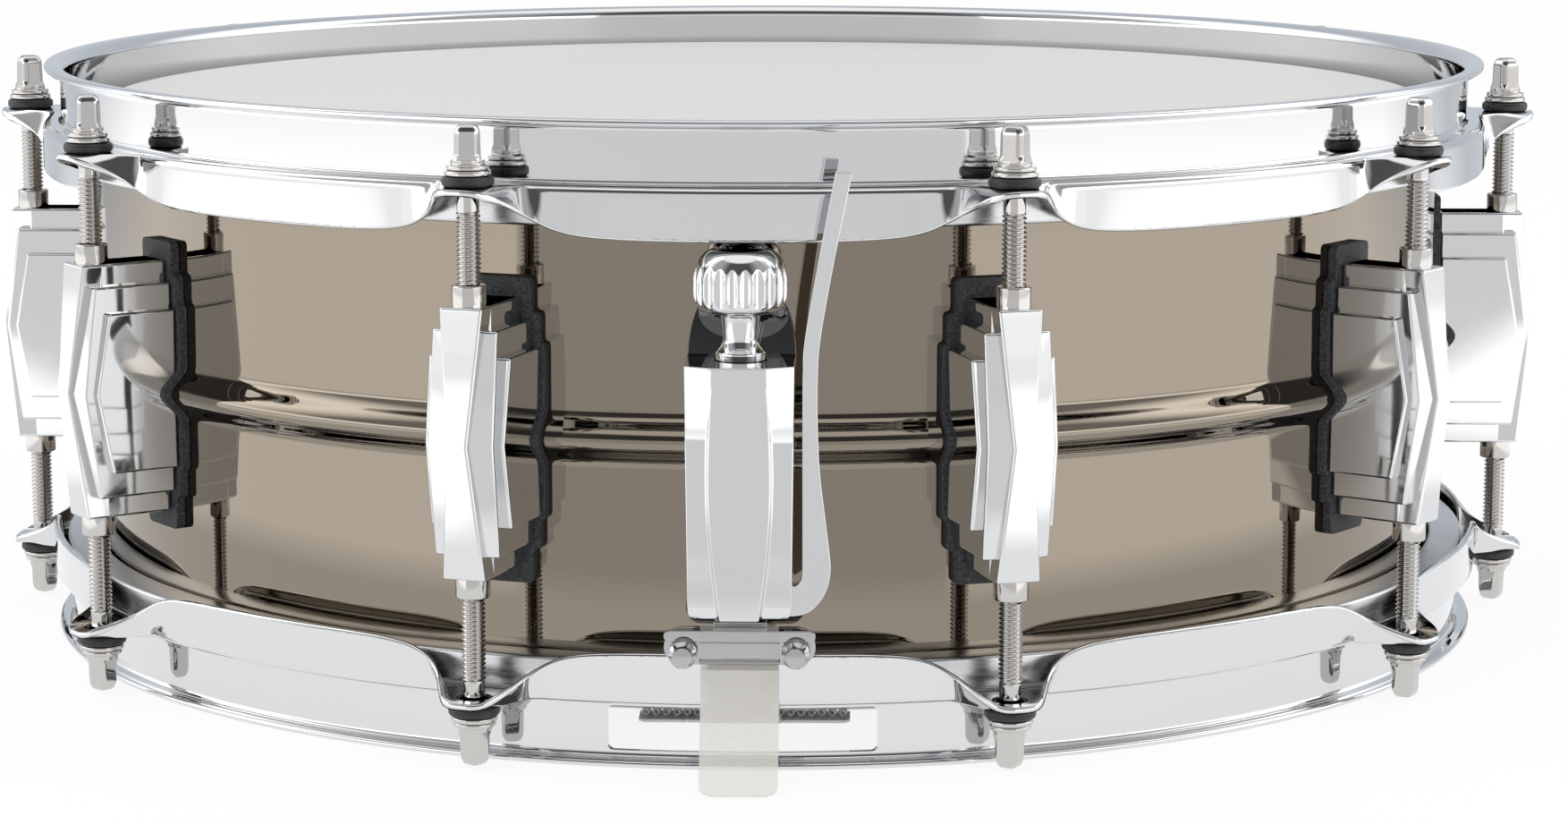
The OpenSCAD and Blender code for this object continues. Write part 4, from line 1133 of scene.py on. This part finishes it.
def make_world():
    """White to the camera, pale for soft light, and the studio in mirror-like surfaces."""
    world = bpy.data.worlds.new("studio")
    bpy.context.scene.world = world
    world.use_nodes = True
    tree = world.node_tree
    back = tree.nodes["Background"]
    x, y, up = split(tree, tree.nodes.new("ShaderNodeTexCoord").outputs["Generated"])
    white = mixed(tree, ranged(tree, up, 0, 1, *BRIGHTEN), LOW_WHITE, HIGH_WHITE)
    panels = studio(tree, x, y, white, offset=0, soft=0.012)
    level = calc(tree, "SQRT", calc(tree, "SUBTRACT", 1, calc(tree, "MULTIPLY", up, up)))
    ahead = calc(tree, "DIVIDE", y, calc(tree, "MAXIMUM", level, 0.001))
    reach = calc(tree, "MULTIPLY", ranged(tree, ahead, 1, SIDE_SHARE, *ROOF_SIDE),
                 ranged(tree, ahead, 1, 0, *ROOF_END))
    shade = calc(tree, "MULTIPLY", ranged(tree, up, 0, 1, *ROOF), reach)
    roof = mixed(tree, shade, panels, DARK)
    box = mixed(tree, ranged(tree, up, 0, 1, *ROOF_LIGHT), roof, TOP_LIGHT)
    seen, mirrored = rays(tree)
    base = mixed(tree, mirrored, PALE, box)
    link(tree, mixed(tree, seen, base, BLANK), back.inputs["Color"])


def make_floor():
    """A pale floor that takes the drum's shadow and carries the panels on in reflections."""
    size, level, white_share, studio_share, strength = 9000, -MID - 0.2, 0.87, 0.85, 1.02
    corners = ((-size, -size), (size, -size), (size, size), (-size, size))
    form = Form()
    form.cap(form.ring([(x, y, level) for x, y in corners]))
    floor = placed("floor", form.mesh("floor"))
    mat, tree, shader = material("pale_floor", PALE, 0.0, 0.8)
    floor.data.materials.append(mat)
    place = tree.nodes.new("ShaderNodeNewGeometry").outputs["Position"]
    x, y = split(tree, place)[:2]
    white_glow = tree.nodes.new("ShaderNodeEmission")
    white_glow.inputs["Strength"].default_value = strength
    studio_glow = tree.nodes.new("ShaderNodeEmission")
    away = tree.nodes.new("ShaderNodeVectorMath")
    away.operation = "LENGTH"
    link(tree, place, away.inputs[0])
    near = ranged(tree, away.outputs["Value"], 0, 1, *NEAR_END)
    white = mixed(tree, ranged(tree, away.outputs["Value"], 0, 1, *FLOOR_FADE), WHITE, LOW_WHITE)
    panels = studio(tree, x, y, white, offset=1, soft=0.01)
    link(tree, mixed(tree, near, NEAR, panels), studio_glow.inputs["Color"])
    seen, mirrored = rays(tree)
    surface = shader.outputs[0]
    for ray, share, glow in ((seen, white_share, white_glow),
                             (mirrored, studio_share, studio_glow)):
        both = tree.nodes.new("ShaderNodeMixShader")
        link(tree, calc(tree, "MULTIPLY", ray, share), both.inputs[0])
        link(tree, surface, both.inputs[1])
        link(tree, glow.outputs[0], both.inputs[2])
        surface = both.outputs[0]
    link(tree, surface, tree.nodes["Material Output"].inputs["Surface"])


def make_lamp(name, place, energy):
    """A soft lamp that doesn't show in the chrome."""
    light = bpy.data.lights.new(name, "AREA")
    light.size = LAMP_SIZE
    light.energy = energy
    lamp = placed(name, light)
    lamp.location = place
    lamp.rotation_euler = (Vector(AIM) - Vector(place)).to_track_quat("-Z", "Y").to_euler()
    lamp.visible_glossy = False


make_world()
make_floor()
make_lamp("key", (-0.9, -0.9, 1.5), 9)
make_lamp("fill", (1.1, -0.6, 1.2), 5)

# The camera fitted to the photo
SENSOR, FOCAL_PIXELS, IMAGE_WIDTH = 36, 4609, 1753
YAW, PITCH_DOWN = -1.35, -9.51
camera = placed("camera", bpy.data.cameras.new("camera"))
camera.location = (0.0311, -1.0996, 0.2352)
look = Vector((sind(YAW) * cosd(PITCH_DOWN), cosd(YAW) * cosd(PITCH_DOWN), sind(PITCH_DOWN)))
camera.rotation_euler = look.to_track_quat("-Z", "Y").to_euler()
camera.data.sensor_fit = "HORIZONTAL"
camera.data.sensor_width = SENSOR
camera.data.lens = SENSOR * FOCAL_PIXELS / IMAGE_WIDTH
camera.data.clip_start = 0.01
bpy.context.scene.camera = camera
bpy.context.scene.view_settings.view_transform = "Standard"
